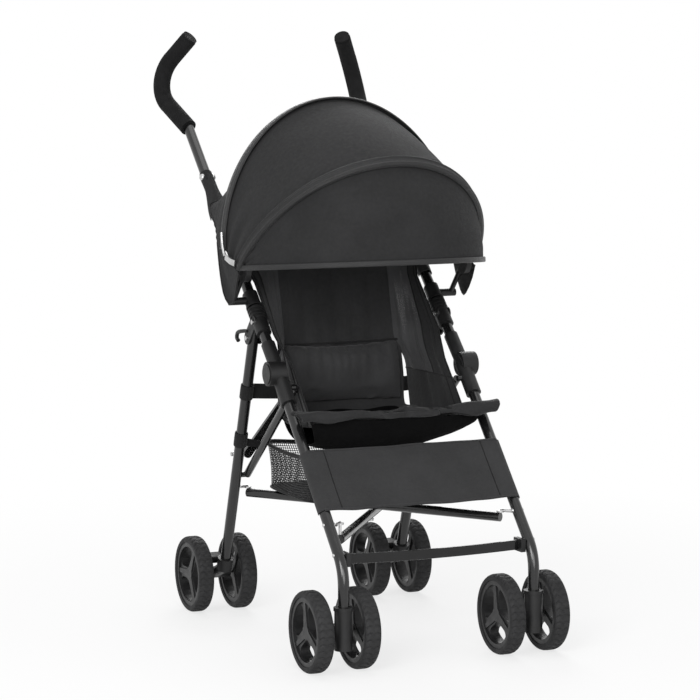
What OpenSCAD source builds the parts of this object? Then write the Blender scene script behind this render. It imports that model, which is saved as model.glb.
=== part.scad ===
// Umbrella stroller: two tube side frames, cross braces, twin wheels, canopy and sling seat.
// Millimetres. The stroller faces -Y, +Z is up, the ground is Z = 0.

/* [Side frames] */
// half distance between the side frame planes
side_half = 176; // [140:1:220]
// outside diameter of the leg and push tubes
tube_d = 19; // [14:0.5:26]
// fore-aft place of the knee joint
knee_y = -32; // [-80:1:40]
// height of the knee joint
knee_z = 470; // [400:1:540]
// fore-aft place of the swivel stem
stem_y = -308; // [-360:1:-240]
// height where the line of the front leg meets the swivel stem
corner_z = 176.1; // [150:0.1:200]
// slope of the push tube from the horizontal
push_slope = 43.4; // [38:0.2:60]
// length of the push tube from knee to grip
push_length = 592; // [480:1:680]
// radius of the bend above the swivel stem
leg_bend = 72; // [50:1:110]
// distance of the rear leg top behind its bracket collar
rear_top_back = 23.4; // [15:0.1:35]
// drop of the rear leg top below its bracket collar
rear_top_drop = 13; // [5:0.5:25]
// fore-aft place of the rear leg foot
rear_foot_y = 227; // [180:1:260]
// height of the rear leg foot
rear_foot_z = 86; // [75:1:110]
// diameter of the side struts
strut_d = 14; // [10:0.5:20]
// drop of the strut top below the knee
strut_drop = 23; // [15:1:50]
// height where a strut meets the rear leg
strut_low_z = 264; // [220:1:320]

/* [Handles] */
// outside diameter of the foam grips
grip_d = 31; // [24:0.5:40]
// straight length of the lower grip run
grip_low = 74; // [50:1:90]
// straight length of the upper grip run
grip_high = 52; // [40:1:90]
// bend radius of the grips
grip_bend = 58; // [45:1:80]
// rise of the lower grip run from the horizontal
grip_low_slope = 33.3; // [30:0.1:44]
// outward turn of the lower grip run
grip_low_aside = 16.7; // [0:0.1:20]
// rise of the upper grip run from the horizontal
grip_high_slope = 45.8; // [40:0.1:60]
// inward turn of the upper grip run, from straight back
grip_high_aside = 139; // [120:1:160]
// thickness of the grip end caps
cap_thick = 5; // [2:0.5:10]

/* [Knee joints] */
// diameter of the knee drum
knee_d = 42; // [32:1:56]
// length of the knee drum across the stroller
knee_length = 30; // [24:1:40]
// outward shift of the knee drum
knee_shift = 7; // [0:0.5:12]
// outside diameter of the lower knee sleeve
sleeve_low_d = 27; // [24:0.5:34]
// outside diameter of the upper knee sleeve
sleeve_high_d = 24.5; // [22:0.5:32]
// length of each knee sleeve from the drum centre
sleeve_length = 66; // [45:1:90]

/* [Wheels] */
// wheel diameter over the tyre
wheel_d = 138; // [110:1:180]
// tyre width
tyre_w = 28; // [20:0.5:32]
// height of the tyre section
tyre_h = 11; // [7:0.5:16]
// half distance between the twin wheels
twin_half = 42; // [38:0.5:52]
// fore-aft place of the rear axle
rear_axle_y = 272; // [220:1:320]
// distance of the front axle behind the swivel stem
trail = 37; // [20:1:60]
// axle diameter
axle_d = 8; // [6:0.5:12]
// hub diameter
hub_d = 24; // [20:1:36]
// width of one wheel spoke
spoke_w = 20; // [12:0.5:26]
// diameter of the swivel housing
caster_d = 31; // [27:1:38]
// height of the swivel housing top
caster_top = 114; // [95:1:140]
// height of the swivel housing bottom
caster_low = 42; // [38:1:60]
// turning clearance of wheels and swivels
run_gap = 0.05; // [0.01:0.01:0.1]

/* [Cross braces] */
// lower brace tube diameter
brace_d = 16; // [12:0.5:20]
// distance of the brace ends from the side frame planes
brace_inset = 26; // [22:1:50]
// fore-aft place of the lower brace crossing
brace_y = -28; // [-60:1:20]
// half fore-aft reach of the lower brace
brace_reach = 206; // [150:1:230]
// height of the lower brace crossing
brace_z = 221; // [190:1:250]
// distance of the back brace in front of the push tubes at its top
back_brace_set = 7; // [5:0.5:9]
// height of the lower back brace ends above the lower brace eyes
back_low_up = 62.1; // [40:0.1:90]
// height of the upper back brace ends above the knee
back_high_up = 210; // [180:1:240]
// width of the back brace bars
bar_w = 16; // [10:0.5:24]
// thickness of the back brace bars
bar_t = 8; // [4:0.5:12]
// gap between two crossing brace members
cross_gap = 0.6; // [0.3:0.1:2]
// bolt diameter at the crossings
bolt_d = 6; // [4:0.5:8]

/* [Canopy] */
// distance of the canopy hinge behind the knee
hood_back = 68; // [40:1:90]
// height of the canopy hinge above the knee
hood_rise = 175; // [150:1:220]
// reach of the canopy beyond the side frame planes
hood_side = 52; // [45:1:80]
// rise of the top bow above its feet
hood_top = 269; // [220:1:320]
// distance of the top bow feet behind the hinge
hood_top_back = 64; // [40:1:90]
// height of the top bow feet above the hinge
hood_top_up = 23; // [0:1:40]
// backward lean of the top bow from foot to crown
hood_top_lean = 31; // [0:1:60]
// rise of the middle bow along its own slope
hood_mid = 262; // [200:1:300]
// reach of the front bow
hood_front = 232; // [180:1:260]
// slope of the middle bow from the horizontal
hood_mid_angle = 47.5; // [35:0.5:70]
// slope of the front bow from the horizontal
hood_front_angle = 5; // [-10:1:15]
// angle from the hinge line where the canopy cloth starts
arch_start = 4; // [2:0.5:8]
// hanging depth of the canopy sides behind the hinge
hood_skirt = 133; // [100:1:170]
// fabric thickness of the canopy
hood_t = 2; // [1.5:0.1:4]

/* [Soft parts] */
// fabric thickness of the seat
seat_t = 6; // [3:0.5:12]
// place of the seat pan between the lower braces and the knee
seat_share = 0.739; // [0.72:0.001:0.78]
// fore-aft place of the seat's rear corner
seat_back_y = 88; // [60:1:98]
// rearward lean of the backrest top
back_lean = 76; // [40:1:80]
// height of the backrest top above the knee
back_rise = 232; // [180:1:280]
// hollow of the sling across its width
seat_sag = 14; // [0:1:30]
// drop of the front lip
lip_drop = 34; // [15:1:50]
// height above the seat pan where a side wing starts
wing_foot = 13; // [9:0.5:20]
// height above the knee where a side wing ends on its tube
wing_rise = 185; // [140:1:200]
// belly of a side wing
wing_belly = 7; // [3:0.5:12]
// cloth thickness of the storage basket
basket_t = 2; // [1.5:0.1:4]
// drop of the back strap below the knee
strap_drop = 49; // [30:1:80]
// width of the back strap
strap_h = 28; // [15:1:50]
// thickness of the back strap
strap_t = 2; // [1.5:0.1:4]
// distance of the seat pan edge from the side frame plane
seat_inset = 32; // [30:1:45]
// reach of the seat lip beyond the side frame planes
lip_side = 18; // [5:1:30]
// distance of the backrest edge from the side frame plane
back_inset = 44; // [40:1:60]
// thickness of the side wings
wing_t = 2; // [1.5:0.1:4]
// thickness of the leg panel
panel_t = 3; // [2:0.1:6]
// reach of the leg panel beyond the side frame planes
panel_side = 11; // [10:0.5:16]
// drop of the leg panel top below the seat pan
panel_drop = 61; // [45:1:80]
// height of the leg panel bottom
panel_low_z = 258; // [230:1:300]
// half length of the storage basket
basket_reach = 112; // [80:1:150]
// depth of the storage basket
basket_depth = 82; // [50:1:86]
// height of the foot strip
strip_h = 17; // [10:0.5:30]
// thickness of the foot strip
strip_t = 6; // [3:0.5:12]
// height of the foot strip middle above the corner of the front legs
strip_rise = 13; // [5:0.5:20]

/* [Hidden] */
$fn = 48;
// circle steps of hulled and small forms
fn_low = 24;
tube_r = tube_d / 2;
wheel_r = wheel_d / 2;
// overrun of every cut
over = tube_d / 8;
// overlap of two runs of one bent tube
join = tube_d / 20;
// swell of a bend over its straight runs
bend_share = 1.014;
// seat of a tube in a sleeve
seat_gap = run_gap;
bore_r = tube_r + seat_gap;
// gap between neighbouring rigid pieces
near = tube_d * 0.03;
black = [0.10, 0.10, 0.11];
steel = [0.72, 0.73, 0.75];
cloth = [0.13, 0.13, 0.14];
rubber = [0.17, 0.17, 0.18];

// directions in the side plane
leg_slope = atan2(knee_z - corner_z, knee_y - stem_y);
leg_dir = [0, -cos(leg_slope), -sin(leg_slope)];
push_dir = [0, cos(push_slope), sin(push_slope)];
knee = [0, knee_y, knee_z];
// collar of the top bracket on the push tube
collar_d = tube_d * 1.42;
collar_from = knee_d * 2.15;
collar_to = collar_from + tube_d * 2.9;
collar_mid = knee + push_dir * ((collar_from + collar_to) / 2);
rear_top_y = collar_mid[1] + rear_top_back;
rear_top_z = collar_mid[2] - rear_top_drop;
rear_len = norm([rear_foot_y - rear_top_y, rear_foot_z - rear_top_z]);
rear_dir = [0, (rear_foot_y - rear_top_y) / rear_len, (rear_foot_z - rear_top_z) / rear_len];
rear_top = [0, rear_top_y, rear_top_z];
// angle of the leg bend and its corner
bend_angle = 90 - leg_slope;
bend_cut = leg_bend * tan(bend_angle / 2);
corner_run = norm([knee_y - stem_y, knee_z - corner_z]);
leg_run = corner_run - bend_cut;
// start of the tubes inside the knee
knee_start = tube_d * 0.9;

function leg_y(z) = knee_y - (knee_z - z) / tan(leg_slope);
function push_y(z) = knee_y + (z - knee_z) / tan(push_slope);
function rear_y(z) = rear_top_y + (rear_top_z - z) * rear_dir[1] / -rear_dir[2];

// heights and widths that follow the side frames
strut_top_z = knee_z - strut_drop;
hood_y = knee_y + hood_back;
hood_z = knee_z + hood_rise;
hood_half = side_half + hood_side;
// steps inward of the canopy layers, one under the next
visor_in = hood_t * 1.25;
main_in = hood_t * 3.75;
seat_z = brace_z + (knee_z - brace_z) * seat_share;
back_top_z = knee_z + back_rise;
panel_top_z = seat_z - panel_drop;
strap_z = knee_z - strap_drop;
strip_z = corner_z + strip_rise;
seat_half = side_half - seat_inset;
lip_half = side_half + lip_side;
back_half = side_half - back_inset;
panel_half = side_half + panel_side;

// round bar from p to q
module rod(p, q, r) {
  d = q - p;
  len_xy = norm([d[0], d[1]]);
  translate(p)
    rotate([0, atan2(len_xy, d[2]), atan2(d[1], d[0])])
      cylinder(r = r, h = norm(d));
}

// closed thin solid between two point grids
module skin(f, b) {
  nr = len(f);
  nc = len(f[0]);
  n = nr * nc;
  pts = concat([for (r = f) for (p = r) p], [for (r = b) for (p = r) p]);
  tops = [for (i = [0 : nr - 2]) for (j = [0 : nc - 2]) for (k = [0, 1])
    k == 0 ? [i * nc + j, i * nc + j + 1, (i + 1) * nc + j + 1]
           : [i * nc + j, (i + 1) * nc + j + 1, (i + 1) * nc + j]];
  lows = [for (t = tops) [t[0] + n, t[2] + n, t[1] + n]];
  edge_a = [for (j = [0 : nc - 2]) for (k = [0, 1])
    k == 0 ? [j, j + n + 1, j + 1] : [j, j + n, j + n + 1]];
  last = (nr - 1) * nc;
  edge_b = [for (j = [0 : nc - 2]) for (k = [0, 1])
    k == 0 ? [last + j, last + j + 1, last + j + n + 1] : [last + j, last + j + n + 1, last + j + n]];
  edge_c = [for (i = [0 : nr - 2]) for (k = [0, 1])
    k == 0 ? [i * nc, (i + 1) * nc, (i + 1) * nc + n] : [i * nc, (i + 1) * nc + n, i * nc + n]];
  side = nc - 1;
  edge_d = [for (i = [0 : nr - 2]) for (k = [0, 1])
    k == 0 ? [i * nc + side, (i + 1) * nc + side + n, (i + 1) * nc + side]
           : [i * nc + side, i * nc + side + n, (i + 1) * nc + side + n]];
  polyhedron(points = pts, faces = concat(tops, lows, edge_a, edge_b, edge_c, edge_d));
}

// front leg: straight run, bend and upright end in the swivel housing
stem_end = caster_low + (caster_top - caster_low) * 0.38;
module front_leg() {
  color(black)
    translate([side_half, 0, 0])
      union() {
        rod(knee + leg_dir * knee_start, knee + leg_dir * (leg_run + join), tube_r);
        translate([0, stem_y + leg_bend, corner_z - bend_cut])
          rotate([90, 0, 90])
            rotate([0, 0, 180 - bend_angle])
              rotate_extrude(angle = bend_angle)
                translate([leg_bend, 0])
                  circle(r = tube_r * bend_share);
        translate([0, stem_y, stem_end])
          cylinder(r = tube_r, h = corner_z - bend_cut - stem_end + join);
      }
}

// push tube: knee to the grip socket
grip_socket = tube_d * 0.6;
module push_tube() {
  color(black)
    translate([side_half, 0, 0])
      rod(knee + push_dir * knee_start, knee + push_dir * (push_length + grip_socket), tube_r);
}

// foam grip with its end cap: kinked off the push tube and bent once, up and inward
cap_share = 0.94;
function heading(slope, aside) = [cos(slope) * sin(aside), cos(slope) * cos(aside), sin(slope)];
grip_from = heading(grip_low_slope, grip_low_aside);
grip_to = heading(grip_high_slope, -grip_high_aside);
grip_turn = acos(grip_from * grip_to);
grip_away = (grip_from * cos(grip_turn) - grip_to) / sin(grip_turn);
grip_side = cross(grip_away, grip_from);
module grip() {
  color(black)
    translate(knee + push_dir * push_length + [side_half, 0, 0])
      difference() {
        multmatrix([for (i = [0 : 2]) [grip_side[i], grip_away[i], grip_from[i], 0]]) {
          cylinder(d = grip_d, h = grip_low + join);
          translate([0, -grip_bend, grip_low]) {
            rotate([90, 0, 90])
              rotate_extrude(angle = grip_turn)
                translate([grip_bend, 0])
                  circle(d = grip_d * bend_share);
            rotate([grip_turn, 0, 0])
              translate([0, grip_bend, -join]) {
                cylinder(d = grip_d, h = grip_high + join);
                cylinder(d = grip_d * cap_share, h = grip_high + cap_thick + join);
              }
          }
        }
        rod(push_dir * -tube_d, push_dir * (grip_socket + near), bore_r);
      }
}

// knee joint: drum across the stroller with a sleeve on each tube
rim_share = 0.82;
rim_h = knee_length * 0.06;
module knee_joint() {
  color(black)
    translate([side_half, 0, 0])
      difference() {
        union() {
          translate(knee - [knee_length / 2 - knee_shift, 0, 0])
            rotate([0, 90, 0])
              cylinder(d = knee_d, h = knee_length);
          translate(knee - [knee_length / 2 + rim_h - knee_shift, 0, 0])
            rotate([0, 90, 0])
              cylinder(d = knee_d * rim_share, h = knee_length + rim_h * 2);
          rod(knee, knee + leg_dir * sleeve_length, sleeve_low_d / 2);
          rod(knee, knee + push_dir * sleeve_length, sleeve_high_d / 2);
        }
        rod(knee + leg_dir * (knee_start - near), knee + leg_dir * (sleeve_length + over), bore_r);
        rod(knee + push_dir * (knee_start - near), knee + push_dir * (sleeve_length + over), bore_r);
      }
}

// bracket that carries the rear leg on the push tube
plate_t = tube_d * 0.16;
plate_gap = tube_d * 0.012;
plate_w = tube_d * 1.2;
rivet_r = tube_d * 0.22;
rivet_h = tube_d * 0.12;
leg_rivet = rear_top + rear_dir * tube_d;
module bracket_plate() {
  translate([tube_r + plate_gap, 0, 0])
    rotate([90, 0, 90])
      linear_extrude(plate_t)
        hull() {
          translate([collar_mid[1], collar_mid[2]])
            circle(d = plate_w, $fn = fn_low);
          translate([leg_rivet[1], leg_rivet[2]])
            circle(d = plate_w, $fn = fn_low);
        }
}
module top_bracket() {
  color(black)
    translate([side_half, 0, 0])
      difference() {
        union() {
          rod(knee + push_dir * collar_from, knee + push_dir * collar_to, collar_d / 2);
          bracket_plate();
          mirror([1, 0, 0])
            bracket_plate();
        }
        rod(knee + push_dir * (collar_from - over), knee + push_dir * (collar_to + over), bore_r);
      }
}

module rear_leg() {
  color(black)
    translate([side_half, 0, 0])
      rod(rear_top, rear_top + rear_dir * rear_len, tube_r);
}

// side strut from the knee sleeve down to the rear leg
strut_r = strut_d / 2;
strut_x = side_half - sleeve_low_d / 2 - strut_r - near;
strut_top = [strut_x, leg_y(strut_top_z), strut_top_z];
strut_low = [strut_x, rear_y(strut_low_z), strut_low_z];
pin_r = strut_r * 0.7;
module strut() {
  color(black)
    union() {
      rod(strut_top, strut_low, strut_r);
      rod(strut_top, [side_half - sleeve_low_d / 2 - seat_gap, strut_top[1], strut_top[2]], pin_r);
      rod(strut_low, [side_half - tube_r - seat_gap, strut_low[1], strut_low[2]], pin_r);
    }
}

// places of the brace ends
brace_r = brace_d / 2;
brace_half = side_half - brace_inset;
brace_level = brace_r + cross_gap / 2;
eye_z = brace_z + brace_level + brace_r + near;
eye_r = brace_d * 0.42;
eye_h = brace_d * 0.18;
link_r = brace_d * 0.17;
tip_share = 0.78;
link_end = side_half - tube_r - near / 2 - link_r * tip_share;
lug_r = bar_t / 2;
lug_x = brace_half + bar_w / 2 + near * 1.6;
back_low_z = eye_z + back_low_up;
back_high_z = knee_z + back_high_up;
back_brace_z = (back_low_z + back_high_z) / 2;
back_brace_rise = (back_high_z - back_low_z) / 2;
back_brace_y = push_y(back_high_z) - back_brace_set;
lug_y = (push_y(back_high_z) + back_brace_y) / 2;
// steel links, lugs and rivets on one side; low is true where the lower tube ends in front
module links(front_low) {
  color(steel)
    union() {
      for (e = [
        [brace_y - brace_reach, front_low, leg_y(eye_z)],
        [brace_y + brace_reach, !front_low, rear_y(eye_z)]
      ]) {
        translate([brace_half, e[0], eye_z])
          cylinder(r = eye_r, h = eye_h);
        rod([brace_half, e[0], eye_z + eye_h], [link_end, e[2], eye_z + eye_h], link_r);
        if (e[1])
          translate([brace_half, e[0], brace_z - cross_gap / 2 + near])
            cylinder(r = link_r, h = eye_z - brace_z);
      }
      rod([side_half, rear_y(back_low_z - link_r) - tube_r / rear_dir[2] + seat_gap, back_low_z],
          [side_half, back_brace_y, back_low_z], link_r);
      rod([side_half + lug_r, back_brace_y, back_low_z], [lug_x, back_brace_y, back_low_z], lug_r);
      rod([side_half - tube_r - seat_gap, lug_y, back_high_z], [lug_x, lug_y, back_high_z], lug_r);
      for (p = [[collar_mid, collar_d / 2], [leg_rivet, tube_r + plate_gap + plate_t]])
        for (k = [1, -1])
          translate([side_half + k * p[1], p[0][1], p[0][2]])
            rotate([0, k * 90, 0])
              cylinder(r = rivet_r, h = rivet_h);
    }
}

// bracket of the foot strip on a front leg
strip_setback = tube_d * 1.3;
strip_y = stem_y + strip_setback;
strip_half = side_half - tube_d;
bracket_h = strip_h * 1.3;
bracket_l = tube_d * 1.5;
module foot_bracket() {
  color(black)
    translate([strip_half + near, strip_y - bracket_l / 2, strip_z - bracket_h / 2])
      cube([side_half - tube_r - near * 2 - strip_half, bracket_l, bracket_h]);
}

// clamp, arm and hinge plate that carry the canopy
clamp_from = collar_to + tube_d * 0.4;
clamp_to = clamp_from + tube_d * 1.5;
clamp_mid = knee + push_dir * ((clamp_from + clamp_to) / 2);
arm_x = hood_half * 0.925;
arm_r = tube_d * 0.24;
hub_r = tube_d * 1.15;
hub_h = tube_d * 0.45;
hub_out = (hood_half - main_in - hood_t) * cos(arch_start) - near * 2.5;
module canopy_arm() {
  color(black)
    difference() {
      union() {
        translate([side_half, 0, 0])
          rod(knee + push_dir * clamp_from, knee + push_dir * clamp_to, collar_d / 2);
        rod(clamp_mid + [side_half, 0, 0], clamp_mid + [arm_x + hub_h, 0, 0], arm_r * 1.5);
        rod(clamp_mid + [arm_x, 0, 0], [arm_x, hood_y, hood_z], arm_r);
        translate([arm_x - hub_h / 2, hood_y, hood_z])
          rotate([0, 90, 0])
            cylinder(r = hub_r, h = hub_out - arm_x + hub_h / 2);
      }
      translate([side_half, 0, 0])
        rod(knee + push_dir * (clamp_from - over), knee + push_dir * (clamp_to + over), bore_r);
    }
}

// axle boss and axle shared by both wheel carriers
boss_r = hub_d * 0.44;
boss_half = twin_half - tyre_w / 2 - near * 4;
axle_r = axle_d / 2;
axle_half = twin_half + tyre_w * 0.2;
module axle(y) {
  translate([side_half - boss_half, y, wheel_r])
    rotate([0, 90, 0])
      cylinder(r = boss_r, h = boss_half * 2);
  translate([side_half - axle_half, y, wheel_r])
    rotate([0, 90, 0])
      cylinder(r = axle_r, h = axle_half * 2);
}

// rear housing: leg socket, arm, axle and the ears of the brake
socket_r = tube_r * 1.55;
socket_from = rear_len - tube_d;
ear_t = tube_d * 0.21;
pedal_half = boss_half * 0.7;
pedal_r = tube_d * 0.32;
pedal_pin_r = pedal_r * 0.42;
pedal_y = rear_axle_y - tube_d * 0.3;
pedal_z = wheel_r + boss_r + pedal_r * 2.2;
module rear_housing() {
  color(black)
    difference() {
      union() {
        translate([side_half, 0, 0]) {
          rod(rear_top + rear_dir * socket_from, rear_top + rear_dir * (rear_len + near * 6), socket_r);
          rod(rear_top + rear_dir * rear_len, [0, rear_axle_y, wheel_r], boss_r);
        }
        axle(rear_axle_y);
        for (k = [-1, 1])
          translate([side_half + k * (pedal_half + near + ear_t / 2), 0, 0])
            translate([-ear_t / 2, pedal_y - pedal_r, wheel_r])
              cube([ear_t, pedal_r * 2, pedal_z - wheel_r + pedal_r]);
        translate([side_half - pedal_half - near - ear_t, pedal_y, pedal_z])
          rotate([0, 90, 0])
            cylinder(r = pedal_pin_r, h = (pedal_half + near + ear_t) * 2);
      }
      translate([side_half, 0, 0])
        rod(rear_top + rear_dir * (socket_from - over), rear_top + rear_dir * (rear_len + near), bore_r);
    }
}

// foot brake pedal on the rear housing
pedal_reach = tube_d * 2.2;
pedal_t = tube_d * 0.28;
module brake() {
  color(black)
    difference() {
      union() {
        translate([side_half - pedal_half, pedal_y, pedal_z])
          rotate([0, 90, 0])
            cylinder(r = pedal_r, h = pedal_half * 2);
        translate([side_half - pedal_half, pedal_y, pedal_z + pedal_r - pedal_t])
          cube([pedal_half * 2, pedal_reach, pedal_t]);
      }
      translate([side_half - pedal_half - over, pedal_y, pedal_z])
        rotate([0, 90, 0])
          cylinder(r = pedal_pin_r + run_gap, h = pedal_half * 2 + over * 2);
    }
}

// swivel housing with the front axle
front_axle_y = stem_y + trail;
collar_h = caster_d * 0.18;
module caster() {
  color(black)
    difference() {
      union() {
        translate([side_half, stem_y, caster_low])
          cylinder(d = caster_d, h = caster_top - caster_low);
        translate([side_half, stem_y, caster_top - collar_h])
          cylinder(d = caster_d + collar_h / 2, h = collar_h);
        translate([side_half, 0, 0])
          rod([0, stem_y, wheel_r], [0, front_axle_y, wheel_r], boss_r);
        axle(front_axle_y);
      }
      translate([side_half, stem_y, stem_end - near])
        cylinder(r = tube_r + run_gap, h = caster_top - stem_end + near + over);
    }
}

// wheel rim: channel ring, web with three windows, hub and ridges along the spokes
rim_r = wheel_r - tyre_h;
rim_t = tyre_h * 0.7;
rim_w = tyre_w * 0.86;
web_t = tyre_w * 0.6;
// raised star on the web: width at the middle and at the ring
star_w = spoke_w * 0.8;
star_end_w = spoke_w * 0.3;
star_t = tyre_w * 0.76;
// depth of the axle bore beyond the middle of a wheel
bore_in = tyre_w * 0.2 + near * 2;
// turn of the spokes from straight down
front_turn = 174;
rear_turn = 90;
window_round = spoke_w * 0.55;
module window() {
  far = rim_r * 2;
  offset(r = window_round, $fn = fn_low)
    offset(delta = -window_round)
      intersection() {
        circle(r = rim_r - rim_t);
        polygon([
          [spoke_w / sqrt(3), 0],
          [far * cos(60) + spoke_w / sqrt(3), far * sin(60)],
          [far * cos(60) + spoke_w / sqrt(3), -far * sin(60)]
        ]);
      }
}
module rim(y, k, turn) {
  far = rim_r - rim_t / 2;
  color(black)
    translate([side_half + k * twin_half, y, wheel_r])
      rotate([turn, 0, 0])
        rotate([0, 90, 0])
          difference() {
            union() {
              difference() {
                translate([0, 0, -rim_w / 2])
                  cylinder(r = rim_r, h = rim_w);
                for (e = [-1, 1])
                  translate([0, 0, e * rim_w / 2 - (e + 1) / 2 * (rim_w - web_t) / 2 - (1 - e) / 2 * over])
                    cylinder(r = rim_r - rim_t, h = (rim_w - web_t) / 2 + over);
                for (a = [0, 120, 240])
                  rotate([0, 0, a + 60])
                    translate([0, 0, -web_t / 2 - over])
                      linear_extrude(web_t + over * 2)
                        window();
              }
              translate([0, 0, -star_t / 2])
                cylinder(d = hub_d, h = star_t);
              for (a = [0, 120, 240])
                rotate([0, 0, a])
                  translate([0, 0, -star_t / 2])
                    linear_extrude(star_t)
                      polygon([
                        [0, -star_w / 2], [far, -star_end_w / 2],
                        [far, star_end_w / 2], [0, star_w / 2]
                      ]);
            }
            translate([0, 0, k > 0 ? -tyre_w / 2 - over : -bore_in])
              cylinder(r = axle_r + run_gap, h = tyre_w / 2 + over + bore_in);
          }
}

// tyre with rounded shoulders
shoulder = tyre_h * 0.38;
module tyre(y, k) {
  color(rubber)
    translate([side_half + k * twin_half, y, wheel_r])
      rotate([0, 90, 0])
        rotate_extrude()
          translate([rim_r, 0])
            polygon([
              [0, -tyre_w / 2],
              [tyre_h - shoulder, -tyre_w / 2],
              [tyre_h, -tyre_w / 2 + shoulder],
              [tyre_h, tyre_w / 2 - shoulder],
              [tyre_h - shoulder, tyre_w / 2],
              [0, tyre_w / 2]
            ]);
}

// lower cross brace tube; k is 1 for the upper tube, -1 for the lower
bolt_r = bolt_d / 2;
module lower_brace(k) {
  z = brace_z + k * brace_level;
  color(black)
    difference() {
      rod([-k * brace_half, brace_y + brace_reach, z], [k * brace_half, brace_y - brace_reach, z], brace_r);
      translate([0, brace_y, z - brace_d])
        cylinder(r = bolt_r + run_gap, h = brace_d * 2);
    }
}
head_r = bolt_d * 0.9;
head_h = bolt_d * 0.6;
module lower_bolt() {
  low = brace_z - brace_level - brace_r;
  high = brace_z + brace_level + brace_r;
  color(steel)
    translate([0, brace_y, 0]) {
      translate([0, 0, low - near])
        cylinder(r = bolt_r, h = high - low + near * 2);
      translate([0, 0, high + near])
        cylinder(r = head_r, h = head_h);
      translate([0, 0, low - near - head_h])
        cylinder(r = head_r, h = head_h);
    }
}

// back brace bar; k is 1 for the front bar, -1 for the rear bar
bar_level = bar_t / 2 + cross_gap / 2;
bar_length = norm([brace_half, back_brace_rise]) * 2;
bar_angle = atan2(brace_half, back_brace_rise);
module back_brace(k) {
  color(black)
    translate([0, back_brace_y - k * bar_level, back_brace_z])
      rotate([0, k * bar_angle, 0])
        difference() {
          union() {
            translate([-bar_w / 2, -bar_t / 2, -bar_length / 2])
              cube([bar_w, bar_t, bar_length]);
            for (e = [-1, 1])
              translate([0, bar_t / 2, e * bar_length / 2])
                rotate([90, 0, 0])
                  cylinder(d = bar_w, h = bar_t);
          }
          translate([0, bar_t, 0])
            rotate([90, 0, 0])
              cylinder(r = bolt_r + run_gap, h = bar_t * 2);
        }
}
module back_bolt() {
  low = back_brace_y - bar_level - bar_t / 2;
  high = back_brace_y + bar_level + bar_t / 2;
  color(steel)
    translate([0, 0, back_brace_z]) {
      translate([0, high + near, 0])
        rotate([90, 0, 0])
          cylinder(r = bolt_r, h = high - low + near * 2);
      translate([0, high + near + head_h, 0])
        rotate([90, 0, 0])
          cylinder(r = head_r, h = head_h);
      translate([0, low - near, 0])
        rotate([90, 0, 0])
          cylinder(r = head_r, h = head_h);
    }
}

// canopy: arch of half width w and rise r at slope a, swept parameter t
arch_steps = 20;
arch_list = [for (i = [0 : arch_steps]) arch_start + (180 - 2 * arch_start) * i / arch_steps];
function arch(w, r, a, t) = [w * cos(t), hood_y - r * sin(t) * cos(a), hood_z + r * sin(t) * sin(a)];
tuck = 3;
sweep = [0, 0.25, 0.5, 0.75, 1];
function mix(a, b, s) = a + (b - a) * s;
bulge_share = 0.02;
function puff(s) = 1 + bulge_share * sin(180 * s);
// top bow: stands behind the hinge and leans back
function top_bow(in, t) = [
  (hood_half - in) * cos(t),
  hood_y + hood_top_back + hood_top_lean * sin(t),
  hood_z + hood_top_up + (hood_top - in) * sin(t)
];
// main panel: stretched from the top bow to the middle bow
swell = hood_top * 0.03;
swell_dir = [0, -cos(hood_mid_angle + 15), sin(hood_mid_angle + 15)];
function main_point(s, t, in) =
  mix(top_bow(in, t), arch(hood_half - in, hood_mid - in, hood_mid_angle, t), s)
  + swell_dir * (swell * sin(180 * s) * sin(t));
module canopy_main() {
  f = [for (s = sweep) [for (t = arch_list) main_point(s, t, mix(visor_in, main_in, s))]];
  b = [for (s = sweep) [for (t = arch_list) main_point(s, t, mix(visor_in, main_in, s) + hood_t)]];
  color(cloth)
    skin(f, b);
}
// visor: from the middle bow down to the front bow
function visor_point(s, t, in) =
  arch(
    hood_half - in,
    (mix(hood_mid, hood_front, s) - visor_in) * puff(s) + visor_in - in,
    mix(hood_mid_angle + tuck, hood_front_angle, s),
    t
  );
module canopy_visor() {
  f = [for (s = sweep) [for (t = arch_list) visor_point(s, t, visor_in)]];
  b = [for (s = sweep) [for (t = arch_list) visor_point(s, t, visor_in + hood_t)]];
  color(cloth)
    skin(f, b);
}
// rear panel: top bow back to the push tubes
rear_run = clamp_to + (push_length - clamp_to) * 0.5;
rear_edge = knee + push_dir * rear_run + [0, -sin(push_slope), cos(push_slope)] * (tube_r + hood_t + near);
rear_half = side_half + tube_d;
rear_rise = tube_d;
// hanging part of the side, from the arch end down; it reaches forward past the hinge
skirt_shares = [1, 0.6, 0.2, 0];
skirt_peak_share = 0.1;
skirt_end_share = 0.36;
skirt_min_share = 0.06;
skirt_ahead = hood_top_back * 1.2;
side_from_share = 0.25;
function skirt_drop(s) = s < skirt_peak_share
  ? sin(90 * mix(0.25, 1, s / skirt_peak_share))
  : cos(90 * min(1, (s - skirt_peak_share) / (skirt_end_share - skirt_peak_share)));
function rear_point(t, s, in, fall) =
  let(
    p = top_bow(in, t),
    q = [(rear_half - in) * cos(t), rear_edge[1], rear_edge[2] + rear_rise * sin(t) - in]
  )
  [
    mix(p[0], q[0], max(0, (s - side_from_share) / (1 - side_from_share))),
    mix(p[1], q[1], s) - fall * skirt_ahead * pow(max(0, 1 - s / skirt_end_share), 2),
    mix(p[2], q[2], s) - fall * hood_skirt * max(skirt_min_share, skirt_drop(s))
  ];
function rear_row(s, in) = concat(
  [for (f = skirt_shares) if (f > 0) rear_point(arch_start, s, in, f)],
  [for (t = arch_list) rear_point(t, s, in, 0)],
  [for (i = [len(skirt_shares) - 2 : -1 : 0]) rear_point(180 - arch_start, s, in, skirt_shares[i])]
);
rear_sweep = [1, 0.75, 0.5, 0.35, 0.25, 0.18, 0.12, 0.06, 0];
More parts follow.
